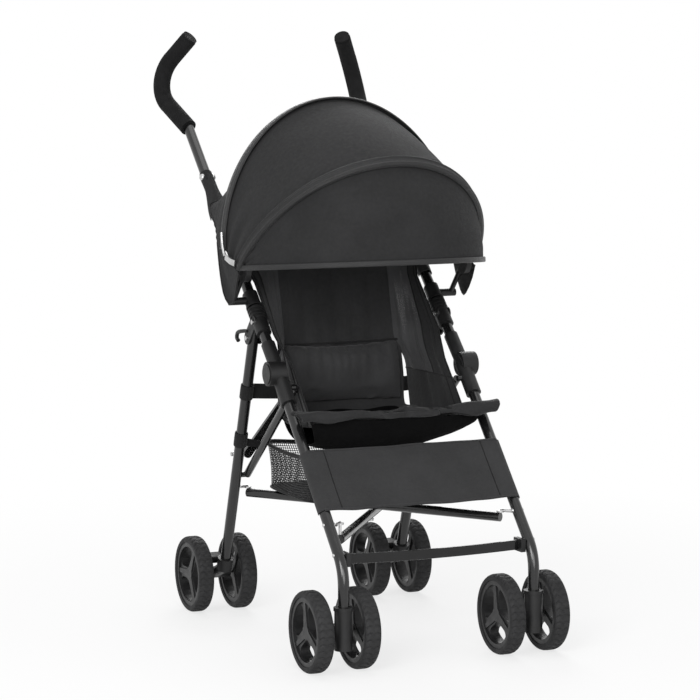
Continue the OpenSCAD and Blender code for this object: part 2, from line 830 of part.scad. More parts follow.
module canopy_rear() {
  color(cloth)
    skin([for (s = rear_sweep) rear_row(s, 0)], [for (s = rear_sweep) rear_row(s, hood_t)]);
}

// seat: one sling from the backrest top to the hanging front lip; rows are y, z, half width
lip_y = leg_y(seat_z) - tube_d * 1.9;
back_shares = [1, 0.78, 0.55, 0.32, 0.12];
pan_shares = [[0, 0.02], [0.15, -0.2], [0.42, -0.6], [0.69, -0.6], [0.92, -0.2]];
lip_shares = [[0, 0.1, 1], [0.41, 0.08, 1], [0.6, -0.18, 1], [0.53, -0.6, 1], [0.375, -1, 0.95]];
seat_rows = concat(
  [for (s = back_shares) [seat_back_y + back_lean * s, mix(seat_z, back_top_z, s), back_half]],
  [for (p = pan_shares)
    [mix(seat_back_y, lip_y, p[0]), seat_z + seat_t * p[1], mix(back_half, seat_half, min(p[0] * 4, 1))]],
  [for (p = lip_shares) [lip_y - lip_drop * p[0], seat_z + lip_drop * p[1], lip_half * p[2]]]
);
seat_cols = [-1, -0.86, -0.7, -0.45, -0.2, 0, 0.2, 0.45, 0.7, 0.86, 1];
rows_n = len(seat_rows);
function row_tan(i) =
  let(a = seat_rows[max(i - 1, 0)], b = seat_rows[min(i + 1, rows_n - 1)], d = [b[0] - a[0], b[1] - a[1]])
  d / norm(d);
function seat_point(i, c, side) =
  let(
    t = row_tan(i),
    n = [-t[1], t[0]],
    r = seat_rows[i],
    dip = (1 - c * c) * seat_sag,
    off = side * seat_t / 2
  )
  [c * r[2], r[0] + n[0] * (off + dip), r[1] + n[1] * (off + dip)];
module seat() {
  color(cloth)
    skin([for (i = [0 : rows_n - 1]) [for (c = seat_cols) seat_point(i, c, -1)]],
         [for (i = [0 : rows_n - 1]) [for (c = seat_cols) seat_point(i, c, 1)]]);
}

// side wing from the backrest edge to the line of the tubes, down to the seat lip
wing_shares = [0, 0.2, 0.4, 0.6, 0.8, 1];
wing_back_shares = [0.045, 0.9];
wing_in = side_half - collar_d / 2 - rivet_h - near - wing_t;
wing_foot_x = strut_x - strut_r - near - wing_t;
wing_ramp = [knee_z + knee_d * 0.2, knee_z + knee_d * 1.4];
wing_foot_z = seat_z + wing_foot;
wing_out = seat_t;
function tube_y(z) = z > knee_z ? push_y(z) : leg_y(z);
function ramp(a, b, z) = min(1, max(0, (z - a) / (b - a)));
function wing_point(u, s, d) =
  let(
    v = mix(wing_back_shares[0], wing_back_shares[1], u),
    b = [back_half + wing_out, seat_back_y + back_lean * v, mix(seat_z, back_top_z, v)],
    z = mix(wing_foot_z, knee_z + wing_rise, u),
    q = [mix(wing_foot_x, wing_in, ramp(wing_ramp[0], wing_ramp[1], z)), tube_y(z), z]
  )
  mix(b, q, s) + [d + wing_belly * sin(180 * s) * u, 0, 0];
module wing() {
  color(cloth)
    skin([for (u = wing_shares) [for (s = wing_shares) wing_point(u, s, 0)]],
         [for (u = wing_shares) [for (s = wing_shares) wing_point(u, s, wing_t)]]);
}

// leg panel in front of the front legs, with a hem round each leg
panel_up = (knee_z - panel_top_z) / sin(leg_slope);
panel_down = (knee_z - panel_low_z) / sin(leg_slope);
panel_off = tube_r + near * 0.6;
module leg_panel() {
  color(cloth)
    translate(knee)
      rotate([leg_slope - 180, 0, 0])
        translate([0, panel_up, 0]) {
          translate([-panel_half - panel_t, 0, -panel_off - panel_t])
            cube([(panel_half + panel_t) * 2, panel_down - panel_up, panel_t]);
          for (k = [-1, 1])
            translate([k * (panel_half + panel_t / 2) - panel_t / 2, 0, -panel_off - panel_t])
              cube([panel_t, panel_down - panel_up, panel_off + tube_r + panel_t]);
        }
}

module foot_strip() {
  color(black)
    translate([-strip_half, strip_y - strip_t / 2, strip_z - strip_h / 2])
      cube([strip_half * 2, strip_t, strip_h]);
}

// storage basket: open tray of cloth
basket_half = back_half;
basket_z = eye_z + eye_h + link_r + near * 2;
basket_flare = tube_d;
strap_low = basket_z + basket_depth - strap_h / 2;
basket_y = rear_y(strap_low) - basket_reach - near * 3;
module basket_strap() {
  translate([basket_half - basket_t / 2, rear_y(strap_low) - strap_t / 2, strap_low])
    cube([side_half - tube_r - near / 2 - basket_half + basket_t / 2, strap_t, strap_h / 2]);
}
module basket() {
  color(cloth) {
    basket_strap();
    mirror([1, 0, 0])
      basket_strap();
    difference() {
      translate([-basket_half, basket_y, basket_z])
        rotate([90, 0, 90])
          linear_extrude(basket_half * 2)
            polygon([
              [-basket_reach, 0],
              [basket_reach, 0],
              [basket_reach + basket_flare, basket_depth],
              [-basket_reach - basket_flare, basket_depth]
            ]);
      translate([-basket_half + basket_t, basket_y, basket_z + basket_t])
        rotate([90, 0, 90])
          linear_extrude((basket_half - basket_t) * 2)
            polygon([
              [-basket_reach + basket_t, 0],
              [basket_reach - basket_t, 0],
              [basket_reach + basket_flare - basket_t, basket_depth],
              [-basket_reach - basket_flare + basket_t, basket_depth]
            ]);
    }
  }
}

// webbing strap between the rear legs behind the backrest
module back_strap() {
  color(cloth)
    translate([-side_half + tube_r + near, rear_y(strap_z) + tube_r / 2, strap_z - strap_h / 2])
      cube([(side_half - tube_r - near) * 2, strap_t, strap_h]);
}

mirror([1, 0, 0]) front_leg();  // left_front_leg
mirror([1, 0, 0]) push_tube();  // left_push_tube
mirror([1, 0, 0]) grip();  // left_grip
mirror([1, 0, 0]) knee_joint();  // left_knee
mirror([1, 0, 0]) top_bracket();  // left_top_bracket
mirror([1, 0, 0]) rear_leg();  // left_rear_leg
mirror([1, 0, 0]) strut();  // left_strut
mirror([1, 0, 0]) foot_bracket();  // left_foot_bracket
mirror([1, 0, 0]) canopy_arm();  // left_canopy_arm
mirror([1, 0, 0]) rear_housing();  // left_rear_housing
mirror([1, 0, 0]) brake();  // left_brake
mirror([1, 0, 0]) caster();  // left_caster
mirror([1, 0, 0]) rim(front_axle_y, 1, front_turn);  // left_front_outer_rim
mirror([1, 0, 0]) tyre(front_axle_y, 1);  // left_front_outer_tyre
mirror([1, 0, 0]) rim(front_axle_y, -1, front_turn);  // left_front_inner_rim
mirror([1, 0, 0]) tyre(front_axle_y, -1);  // left_front_inner_tyre
mirror([1, 0, 0]) rim(rear_axle_y, 1, rear_turn);  // left_rear_outer_rim
mirror([1, 0, 0]) tyre(rear_axle_y, 1);  // left_rear_outer_tyre
mirror([1, 0, 0]) rim(rear_axle_y, -1, rear_turn);  // left_rear_inner_rim
mirror([1, 0, 0]) tyre(rear_axle_y, -1);  // left_rear_inner_tyre
mirror([1, 0, 0]) wing();  // left_wing
mirror([1, 0, 0]) links(true);  // left_links
front_leg();  // right_front_leg
push_tube();  // right_push_tube
grip();  // right_grip
knee_joint();  // right_knee
top_bracket();  // right_top_bracket
rear_leg();  // right_rear_leg
strut();  // right_strut
foot_bracket();  // right_foot_bracket
canopy_arm();  // right_canopy_arm
rear_housing();  // right_rear_housing
brake();  // right_brake
caster();  // right_caster
rim(front_axle_y, 1, front_turn);  // right_front_outer_rim
tyre(front_axle_y, 1);  // right_front_outer_tyre
rim(front_axle_y, -1, front_turn);  // right_front_inner_rim
tyre(front_axle_y, -1);  // right_front_inner_tyre
rim(rear_axle_y, 1, rear_turn);  // right_rear_outer_rim
tyre(rear_axle_y, 1);  // right_rear_outer_tyre
rim(rear_axle_y, -1, rear_turn);  // right_rear_inner_rim
tyre(rear_axle_y, -1);  // right_rear_inner_tyre
wing();  // right_wing
links(false);  // right_links
lower_brace(1);  // lower_brace_a
lower_brace(-1);  // lower_brace_b
lower_bolt();
back_brace(1);  // back_brace_a
back_brace(-1);  // back_brace_b
back_bolt();
canopy_rear();
canopy_main();
canopy_visor();
seat();
leg_panel();
foot_strip();
basket();
back_strap();
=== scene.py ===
import math

import bmesh
import bpy
import numpy as np
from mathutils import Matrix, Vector


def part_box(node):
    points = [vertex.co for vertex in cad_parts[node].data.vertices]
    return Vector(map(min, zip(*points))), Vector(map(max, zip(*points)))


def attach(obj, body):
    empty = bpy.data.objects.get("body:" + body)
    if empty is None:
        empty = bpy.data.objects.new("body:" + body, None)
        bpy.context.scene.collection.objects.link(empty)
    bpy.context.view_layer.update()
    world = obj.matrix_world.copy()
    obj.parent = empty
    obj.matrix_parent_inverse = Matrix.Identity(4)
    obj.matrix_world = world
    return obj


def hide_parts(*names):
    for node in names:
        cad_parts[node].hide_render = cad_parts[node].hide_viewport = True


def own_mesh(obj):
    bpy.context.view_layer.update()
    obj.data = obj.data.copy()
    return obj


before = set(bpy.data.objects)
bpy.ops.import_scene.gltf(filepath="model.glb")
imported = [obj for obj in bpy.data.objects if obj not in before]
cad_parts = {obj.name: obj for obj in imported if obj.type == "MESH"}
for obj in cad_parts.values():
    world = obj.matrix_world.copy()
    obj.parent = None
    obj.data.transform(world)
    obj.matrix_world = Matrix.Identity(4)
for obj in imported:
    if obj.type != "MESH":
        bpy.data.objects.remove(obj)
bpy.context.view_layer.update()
SIDES = ((-1, "left"), (1, "right"))
UP, FORWARD, REARWARD = (0.0, 0.0, 1.0), (0.0, -1.0, 0.0), (0.0, 1.0, 0.0)

# Places and sizes of the frame, as in the CAD source. Lengths are in metres.
SIDE = 0.176
TUBE_R = 0.0095
KNEE = np.array([0.0, -0.032, 0.470])
LEG_FOOT_Y, LEG_FOOT_Z = -0.308, 0.1761
LEG_SLOPE = math.atan2(KNEE[2] - LEG_FOOT_Z, KNEE[1] - LEG_FOOT_Y)
PUSH_SLOPE = math.radians(43.4)
PUSH_DIR = np.array([0.0, math.cos(PUSH_SLOPE), math.sin(PUSH_SLOPE)])
PUSH_OUT = np.array([0.0, -math.sin(PUSH_SLOPE), math.cos(PUSH_SLOPE)])
HINGE_Y, HINGE_Z = 0.036, 0.645
HOOD_HALF = 0.228
REAR_TOP, REAR_FOOT = np.array([0.077, 0.538]), np.array([0.227, 0.086])
SEAT_Z, SEAT_BACK_Y, BACK_LEAN, BACK_TOP_Z = 0.405, 0.088, 0.076, 0.702

# The seat. Its backrest and lip follow the photograph and are narrower than the CAD solid.
BACK_HALF, SEAT_HALF, LIP_HALF, LIP_Y, LIP_DROP = 0.118, 0.144, 0.191, -0.1292, 0.034


# Small tools for points and shares.
def mix(a, b, s):
    return a + (b - a) * s


def ease(x):
    x = np.clip(x, 0.0, 1.0)
    return x * x * (3 - 2 * x)


def bump(x, width):
    return np.exp(-((x / width) ** 2))


def waves(table, a, b):
    """Folds of cloth: a sum of sines, each given as (height, rate along a, rate along b, phase)."""
    return sum(height * np.sin(i * a + j * b + phase) for height, i, j, phase in table)


def unit(v):
    return v / np.maximum(np.linalg.norm(v, axis=-1, keepdims=True), 1e-12)


def xyz(*parts):
    return np.stack(np.broadcast_arrays(*parts), axis=-1).astype(float)


def normals(p):
    return unit(np.cross(np.gradient(p, axis=0), np.gradient(p, axis=1)))


def along(p, axis):
    """Length run along one axis of a grid of points."""
    steps = np.linalg.norm(np.diff(p, axis=axis), axis=-1)
    pad = [(0, 0), (0, 0)]
    pad[axis] = (1, 0)
    return np.pad(np.cumsum(steps, axis=axis), pad)


def leg_y(z):
    return KNEE[1] - (KNEE[2] - z) / math.tan(LEG_SLOPE)


def push_y(z):
    return KNEE[1] + (z - KNEE[2]) / math.tan(PUSH_SLOPE)


def rear_y(z):
    return mix(REAR_FOOT[0], REAR_TOP[0], (z - REAR_FOOT[1]) / (REAR_TOP[1] - REAR_FOOT[1]))


def through(points, count):
    """A smooth line of count points through the given ones."""
    p = np.asarray(points, float)
    p = np.vstack([2 * p[0] - p[1], p, 2 * p[-1] - p[-2]])
    t = np.linspace(0, len(p) - 3 - 1e-9, count)
    i = t.astype(int)
    f = (t - i)[:, None]
    a, b, c, d = p[i], p[i + 1], p[i + 2], p[i + 3]
    return 0.5 * (2 * b + (c - a) * f + (2 * a - 5 * b + 4 * c - d) * f**2 + (3 * b - a - 3 * c + d) * f**3)


# Meshes.
SHARP_ANGLE = 50
CORD_START, CORD_SIDES = (0.31, 0.17, 0.93), 10
BAND_STEPS, BAND_SQUARE, BAND_SIDES = 40, 6.0, 16
DOME_STEPS, DOME_START = 20, (0.13, 0.31, 0.94)
DOME_RINGS = [(1.0, 0.0), (1.0, 0.35), (0.86, 0.68), (0.55, 0.92), (0.18, 1.0)]


def make(name, points, faces, uvs, material, sharp=SHARP_ANGLE):
    mesh = bpy.data.meshes.new(name)
    mesh.from_pydata(np.asarray(points).tolist(), [], faces)
    index = np.empty(len(mesh.loops), dtype=np.int32)
    mesh.loops.foreach_get("vertex_index", index)
    layer = mesh.uv_layers.new(name="UVMap")
    layer.data.foreach_set("uv", np.asarray(uvs)[index].astype(np.float32).ravel())
    form = bmesh.new()
    form.from_mesh(mesh)
    bmesh.ops.recalc_face_normals(form, faces=form.faces)
    form.to_mesh(mesh)
    form.free()
    mesh.polygons.foreach_set("use_smooth", [True] * len(mesh.polygons))
    mesh.set_sharp_from_angle(angle=math.radians(sharp))
    mesh.materials.append(material)
    obj = bpy.data.objects.new(name, mesh)
    bpy.context.collection.objects.link(obj)
    return obj


def cloth_mesh(name, p, thick, material, back=None):
    """A closed form: p is its grid of points, and its second side is back, or lies thick behind p."""
    n, m = p.shape[:2]
    back = p - normals(p) * thick if back is None else back
    u, v = along(p, 1), along(p, 0)
    uvs = np.stack([u - u[:, [m // 2]], v], axis=-1).reshape(-1, 2)
    cell = np.arange(n * m).reshape(n, m)
    quads = np.stack([cell[:-1, :-1], cell[1:, :-1], cell[1:, 1:], cell[:-1, 1:]], axis=-1).reshape(-1, 4)
    faces = quads.tolist() + (quads[:, ::-1] + n * m).tolist()
    for rim in (cell[0], cell[-1], cell[:, 0], cell[:, -1]):
        faces += np.stack([rim[:-1], rim[1:], rim[1:] + n * m, rim[:-1] + n * m], axis=-1).tolist()
    points = np.concatenate([p.reshape(-1, 3), back.reshape(-1, 3)])
    return make(name, points, faces, np.concatenate([uvs, uvs]), material)


def sweep(name, path, u_dir, v_dir, profile, material, closed=False):
    """A closed solid: the profile's (u, v) ring carried along the path."""
    path, profile = np.asarray(path, float), np.asarray(profile, float)
    n, k = len(path), len(profile)
    u_dir = np.broadcast_to(u_dir, path.shape)
    v_dir = np.broadcast_to(v_dir, path.shape)
    rings = (
        path[:, None]
        + u_dir[:, None] * profile[None, :, :1]
        + v_dir[:, None] * profile[None, :, 1:]
    )
    length = np.concatenate([[0], np.cumsum(np.linalg.norm(np.diff(path, axis=0), axis=1))])
    girth = np.concatenate([[0], np.cumsum(np.linalg.norm(np.diff(profile, axis=0), axis=1))])
    uvs = np.stack(np.meshgrid(girth, length), axis=-1).reshape(-1, 2)
    cell = np.arange(n * k).reshape(n, k)
    if closed:
        cell = np.vstack([cell, cell[:1]])
    side = np.roll(cell, -1, axis=1)
    faces = np.stack([cell[:-1], cell[1:], side[1:], side[:-1]], axis=-1).reshape(-1, 4).tolist()
    if not closed:
        faces += [cell[0].tolist(), cell[-1][::-1].tolist()]
    return make(name, rings.reshape(-1, 3), faces, uvs, material)


def oval(width, height, power=4.0, steps=20):
    """A ring of (u, v): an ellipse at power 2, and squarer above it."""
    a = np.linspace(0, 2 * np.pi, steps, endpoint=False)
    c, s = np.cos(a), np.sin(a)
    grow = (np.abs(c) ** power + np.abs(s) ** power) ** (-1 / power)
    return np.stack([c * grow * width / 2, s * grow * height / 2], axis=-1)


def carried(path, start, closed=False):
    """Two directions across the path that don't twist, from one near start."""
    path = np.asarray(path, float)
    if closed:
        tangent = unit(np.roll(path, -1, axis=0) - np.roll(path, 1, axis=0))
    else:
        tangent = unit(np.gradient(path, axis=0))
    u = np.empty_like(path)
    last = np.asarray(start, float)
    for i, t in enumerate(tangent):
        last = last - t * last.dot(t)
        last = last / np.linalg.norm(last)
        u[i] = last
    return u, np.cross(tangent, u)


def cord_mesh(name, path, radius, material, closed=False):
    """A round cord: hems, seams, rods and hooks."""
    u, v = carried(path, CORD_START, closed)
    return sweep(name, path, u, v, oval(2 * radius, 2 * radius, 2.0, CORD_SIDES), material, closed)


def band_mesh(name, centre, axis, radius, width, thick, material):
    """A loop round a tube."""
    axis = unit(np.asarray(axis, float))
    u0 = unit(np.cross(axis, (1.0, 0.0, 0.0)))
    v0 = np.cross(axis, u0)
    a = np.linspace(0, 2 * np.pi, BAND_STEPS, endpoint=False)[:, None]
    out = u0 * np.cos(a) + v0 * np.sin(a)
    path = np.asarray(centre) + out * (radius + thick / 2)
    profile = oval(width, thick, BAND_SQUARE, BAND_SIDES)
    return sweep(name, path, np.broadcast_to(axis, path.shape), out, profile, material, True)


def dome_mesh(name, centre, axis, radius, height, material):
    """The head of a rivet or stud."""
    axis = unit(np.asarray(axis, float))
    side = unit(np.cross(axis, DOME_START))
    other = np.cross(axis, side)
    a = np.linspace(0, 2 * np.pi, DOME_STEPS, endpoint=False)
    points, faces = [], []
    for r, h in DOME_RINGS:
        for t in a:
            ring = side * math.cos(t) + other * math.sin(t)
            points.append(centre + radius * r * ring + axis * height * h)
    count = len(a)
    for i in range(len(DOME_RINGS) - 1):
        for j in range(count):
            k = (j + 1) % count
            faces.append([i * count + j, i * count + k, (i + 1) * count + k, (i + 1) * count + j])
    faces.append(list(range(count))[::-1])
    faces.append([(len(DOME_RINGS) - 1) * count + j for j in range(count)])
    points = np.array(points)
    return make(name, points, faces, points[:, :2], material)


# Materials.
GLOSS_PATCH = 2.3
SLUB_SCALE, TONE_SCALE = 160.0, 14.0
WEAVE_RELIEF, WEAVE_TONE = 0.5, 0.06
SHEEN_ROUGH = 0.5
RAMP_FROM, RAMP_TO = 0.3, 0.7


def put(tree, kind, values, **settings):
    """A new node with its settings, and its inputs set or linked."""
    n = tree.nodes.new("ShaderNode" + kind)
    for key, value in settings.items():
        setattr(n, key, value)
    for key, value in values.items():
        if isinstance(value, bpy.types.NodeSocket):
            tree.links.new(value, n.inputs[key])
        else:
            n.inputs[key].default_value = value
    return n


def maths(tree, operation, a, b=0.0):
    return put(tree, "Math", {0: a, 1: b}, operation=operation).outputs[0]


def noise(tree, scale, detail=3.0):
    where = put(tree, "TexCoord", {}).outputs["Object"]
    return put(tree, "TexNoise", {"Vector": where, "Scale": scale, "Detail": detail}).outputs["Fac"]


def spread(tree, value, low, high, start=RAMP_FROM, end=RAMP_TO):
    keys = {"Value": value, "From Min": start, "From Max": end, "To Min": low, "To Max": high}
    return put(tree, "MapRange", keys).outputs[0]


def tint(tree, value, dark, light):
    ramp = put(tree, "ValToRGB", {"Fac": value})
    ramp.color_ramp.elements[0].position = RAMP_FROM
    ramp.color_ramp.elements[1].position = RAMP_TO
    ramp.color_ramp.elements[0].color = (*dark, 1)
    ramp.color_ramp.elements[1].color = (*light, 1)
    return ramp.outputs[0]


def new_material(name):
    mat = bpy.data.materials.new(name)
    mat.use_nodes = True
    return mat, mat.node_tree, mat.node_tree.nodes["Principled BSDF"]


def relief(tree, shader, height, depth):
    n = put(tree, "Bump", {"Height": height, "Distance": depth, "Strength": 1.0})
    tree.links.new(n.outputs[0], shader.inputs["Normal"])


def grey(value, blue=1.03):
    return (value, value, value * blue)


def hard(name, dark, light, rough, grain, depth, patch=35.0, metal=0.0, coat=0.0, shine=0.3):
    """Plastic, rubber, foam, paint or metal."""
    mat, tree, shader = new_material(name)
    tree.links.new(tint(tree, noise(tree, patch), dark, light), shader.inputs["Base Color"])
    tree.links.new(spread(tree, noise(tree, patch * GLOSS_PATCH), *rough), shader.inputs["Roughness"])
    relief(tree, shader, noise(tree, grain, detail=2.0), depth)
    shader.inputs["Metallic"].default_value = metal
    shader.inputs["Coat Weight"].default_value = coat
    shader.inputs["Specular IOR Level"].default_value = shine
    return mat


def weave(tree, across, up):
    """Height of a plain weave with threads of these widths, from the cloth's own flat coordinates."""
    flat = put(tree, "SeparateXYZ", {0: put(tree, "TexCoord", {}).outputs["UV"]})
    warp = maths(tree, "SINE", maths(tree, "MULTIPLY", flat.outputs[0], math.pi / across))
    weft = maths(tree, "SINE", maths(tree, "MULTIPLY", flat.outputs[1], math.pi / up))
    return maths(tree, "MULTIPLY", warp, weft)


def fabric(
    name, dark, light, threads=(0.0007, 0.0007), depth=0.00022, rough=(0.72, 0.9),
    sheen=0.08, shine=0.15, net=None,
):
    """Woven cloth. A net is given as (mesh width, height of the weave above which it is open)."""
    mat, tree, shader = new_material(name)
    pattern = weave(tree, *threads)
    slub = noise(tree, SLUB_SCALE, detail=4.0)
    height = maths(tree, "ADD", maths(tree, "MULTIPLY", pattern, WEAVE_RELIEF), slub)
    relief(tree, shader, height, depth)
    tone = maths(tree, "ADD", noise(tree, TONE_SCALE), maths(tree, "MULTIPLY", pattern, WEAVE_TONE))
    tree.links.new(tint(tree, tone, dark, light), shader.inputs["Base Color"])
    tree.links.new(spread(tree, slub, *rough), shader.inputs["Roughness"])
    shader.inputs["Sheen Weight"].default_value = sheen
    shader.inputs["Sheen Roughness"].default_value = SHEEN_ROUGH
    shader.inputs["Specular IOR Level"].default_value = shine
    if net:
        gaps = maths(tree, "ABSOLUTE", weave(tree, net[0], net[0]))
        tree.links.new(maths(tree, "LESS_THAN", gaps, net[1]), shader.inputs["Alpha"])
    return mat


PAINT = hard(
    "painted_tube", grey(0.005), grey(0.008), rough=(0.16, 0.26), grain=700.0, depth=0.00010,
    coat=0.25, shine=0.45,
)
MOULD = hard(
    "moulded_plastic", grey(0.006), grey(0.010), rough=(0.38, 0.54), grain=1500.0, depth=0.00015,
    shine=0.32,
)
RIM = hard("wheel_plastic", grey(0.011), grey(0.016), rough=(0.34, 0.48), grain=1300.0, depth=0.00014)
FOAM = hard("foam_grip", grey(0.005), grey(0.009), rough=(0.75, 0.92), grain=900.0, depth=0.0006, shine=0.15)
RUBBER = hard(
    "tyre_rubber", grey(0.018), grey(0.027), rough=(0.6, 0.78), grain=800.0, depth=0.0002,
    shine=0.2,
)
ZINC = hard(
    "zinc_steel", grey(0.42, 1.0), grey(0.62, 1.0), rough=(0.22, 0.4), grain=500.0, depth=0.00008,
    patch=60.0, metal=1.0, shine=0.5,
)
GLOSS = hard(
    "gloss_strip", grey(0.004), grey(0.007), rough=(0.08, 0.14), grain=120.0, depth=0.00006,
    coat=0.15,
)
# A darker copy of the moulded plastic for the brake pedals: painted shade against the light on their tops.
SHADED_PEDAL = hard(
    "pedal_painted_shade", grey(0.004), grey(0.007), rough=(0.55, 0.72), grain=1200.0, depth=0.0002,
    shine=0.15,
)
CANVAS = fabric("canopy_cloth", grey(0.0165), grey(0.0215), sheen=0.03)
SLEEVE_CLOTH = fabric("sleeve_cloth", grey(0.0135), grey(0.0180), rough=(0.36, 0.48), sheen=0.03, shine=0.27)
# A lighter copy of the canopy cloth, with ripstop threads, for the leg panel and its hems: painted light.
LIT_PANEL_CLOTH = fabric("panel_painted_light", grey(0.0260), grey(0.0340), threads=(0.0007, 0.0017), depth=0.0004)
SEATING = fabric("seat_cloth", grey(0.0155), grey(0.0220), rough=(0.6, 0.8))
# A lighter copy of the seat cloth for the pillow: painted light.
LIT_PILLOW_CLOTH = fabric("pillow_painted_light", grey(0.0260), grey(0.0365), rough=(0.6, 0.8))
# Near-black cloth: painted shade, on the lining under the seat pan and on the basket floor.
PAINTED_SHADE = fabric("painted_shade_cloth", grey(0.0018), grey(0.0034), sheen=0.0, shine=0.05)
BINDING = fabric("binding_tape", grey(0.007), grey(0.011), threads=(0.0006, 0.0018))
WEBBING = fabric("webbing", grey(0.007), grey(0.012), threads=(0.0011, 0.0022), depth=0.0004)
NET = fabric("net_cloth", grey(0.038), grey(0.058), net=(0.0021, 0.93), rough=(0.6, 0.8))
BASKET_NET = fabric("basket_net", grey(0.014), grey(0.022), net=(0.0042, 0.36), rough=(0.6, 0.8))

# The finish of each CAD node, by the end of its name. Other nodes are painted, or replaced below.
FINISHES = {
    "grip": FOAM, "knee": MOULD, "top_bracket": MOULD, "links": ZINC, "foot_bracket": MOULD,
    "canopy_arm": MOULD, "rear_housing": MOULD, "brake": SHADED_PEDAL, "caster": MOULD, "rim": RIM,
    "bolt": ZINC,
}
for name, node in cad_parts.items():
    finish = next((m for end, m in FINISHES.items() if name.endswith(end)), PAINT)
    node.data.materials.clear()
    node.data.materials.append(finish)


# Placing the pieces on their bodies.
def soft(obj, body, slot, *nodes):
    """A piece of cloth, or fixed to it, rides its body."""
    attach(obj, body)
    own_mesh(obj)
    if nodes:
        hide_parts(*nodes)
    return obj


def hem(name, path, radius, material=BINDING, closed=False):
    """A hem or seam: a cord sewn to the cloth."""
    return soft(cord_mesh(name, path, radius, material, closed), "centre", "cloth")


def rigid(obj, body):
    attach(obj, body)
    return obj


# Canopy: the panels lie between a top, a middle and a front bow. Angles are in degrees.
ARCH_FROM = 1.8
ARCH_ENDS = 24.0
PANEL_ROWS, PANEL_STEPS, BOW_STEPS = 36, 97, 121
SLEEVE_BASE, SLEEVE_POINTS = 0.0008, 49
CLOTH_T = 0.0014
CLOTH_SINK = 0.0008
MIDDLE_BOW, FRONT_BOW = (0.262, 47.5), (0.232, 5.0)
TOP_RISE, TOP_BACK, TOP_UP, TOP_LEAN = 0.269, 0.064, 0.023, 0.031
MAIN_IN_TOP, MAIN_IN_MIDDLE, MAIN_END_EASE = 0.0025, 0.0075, 0.003
MAIN_SWELL, MAIN_SWELL_TURN = 0.0081, 15
VISOR_IN, VISOR_LAP, VISOR_FLATTEN = 0.0042, 2.0, 0.012
HOOD_END_FOLDS = [(0.0022, 5.5 * np.pi, 0.08, 0)]
HOOD_FOLDS = [(0.0009, 4.2, 0.11, 0)]
HOOD_FOLD_BEAT = [(1, 0, 0.047, 1.3)]


def arch(w, r, a, t):
    a, t = np.radians(a), np.radians(t)
    return xyz(w * np.cos(t), HINGE_Y - r * np.sin(t) * np.cos(a), HINGE_Z + r * np.sin(t) * np.sin(a))


def top_bow(inset, t):
    """The rearmost bow: its feet stand behind the hinges and it leans back."""
    c, s = np.cos(np.radians(t)), np.sin(np.radians(t))
    return xyz(
        (HOOD_HALF - inset) * c, HINGE_Y + TOP_BACK + TOP_LEAN * s, HINGE_Z + TOP_UP + (TOP_RISE - inset) * s
    )


def middle_bow(inset, t):
    return arch(HOOD_HALF - inset, MIDDLE_BOW[0] - inset, MIDDLE_BOW[1], t)


def front_bow(inset, t):
    return arch(HOOD_HALF - inset, FRONT_BOW[0] - inset, FRONT_BOW[1], t)


def ends(t):
    """1 at the hinges, 0 at the crown."""
    return bump(np.minimum(t, 180 - t), ARCH_ENDS)


def main_sheet(s, t):
    inset = mix(MAIN_IN_TOP, MAIN_IN_MIDDLE - MAIN_END_EASE * ends(t), s)
    swell = MAIN_SWELL * np.sin(np.pi * s) * np.sin(np.radians(t))
    rise = math.radians(MIDDLE_BOW[1] + MAIN_SWELL_TURN)
    out = np.array([0.0, -math.cos(rise), math.sin(rise)])
    return mix(top_bow(inset, t), middle_bow(inset, t), s[..., None]) + out * swell[..., None]


def visor_sheet(s, t):
    """The visor, flattened so that it slides under the main panel when it lifts."""
    (r0, a0), (r1, a1) = MIDDLE_BOW, FRONT_BOW
    flat = 1 - VISOR_FLATTEN * np.sin(np.pi * s)
    return arch(HOOD_HALF - VISOR_IN, (mix(r0, r1, s) - VISOR_IN) * flat, mix(a0 + VISOR_LAP, a1, s), t)


def hood_panel(name, sheet, material):
    arc = np.linspace(ARCH_FROM, 180 - ARCH_FROM, PANEL_STEPS)
    s, t = np.meshgrid(np.linspace(0, 1, PANEL_ROWS), arc, indexing="ij")
    p = sheet(s, t)
    pull = np.sin(np.pi * s) * (
        waves(HOOD_END_FOLDS, s, t) * ends(t) + waves(HOOD_FOLDS, s, t) * waves(HOOD_FOLD_BEAT, s, t)
    )
    out = normals(p)
    if out[PANEL_ROWS // 2, PANEL_STEPS // 2, 2] < 0:
        p, pull = p[:, ::-1], pull[:, ::-1]
        out = normals(p)
    return cloth_mesh(name, p + out * (pull - CLOTH_SINK)[..., None], CLOTH_T, material)


def bow_line(bow, inset):
    """Points on a bow with the directions along the panels and outward."""
    path = bow(inset, np.linspace(ARCH_FROM, 180 - ARCH_FROM, BOW_STEPS))
    crown = unit(path[BOW_STEPS // 2] - (path[0] + path[-1]) / 2)
    u = np.array([0.0, crown[2], -crown[1]])
    v = unit(np.cross(np.gradient(path, axis=0), u))
    if v[BOW_STEPS // 2].dot(crown) < 0:
        v = -v
    return path, u, v


def ridged(half, ridges, low):
    """Profile of a sewn sleeve: a flat band with rounded ridges at (place, height, width)."""
    u = np.linspace(-half, half, SLEEVE_POINTS)
    top = SLEEVE_BASE + sum(h * bump(u - c, w) for c, h, w in ridges)
    top[0] = top[-1] = 0.0
    return np.concatenate([np.stack([u, top], -1), [[half, low], [-half, low]]])


visor = hood_panel("canopy_visor_cloth", visor_sheet, CANVAS)
soft(visor, "canopy_front", "cloth", "canopy_visor")
main = hood_panel("canopy_main_cloth", main_sheet, CANVAS)
soft(main, "centre", "cloth", "canopy_main")

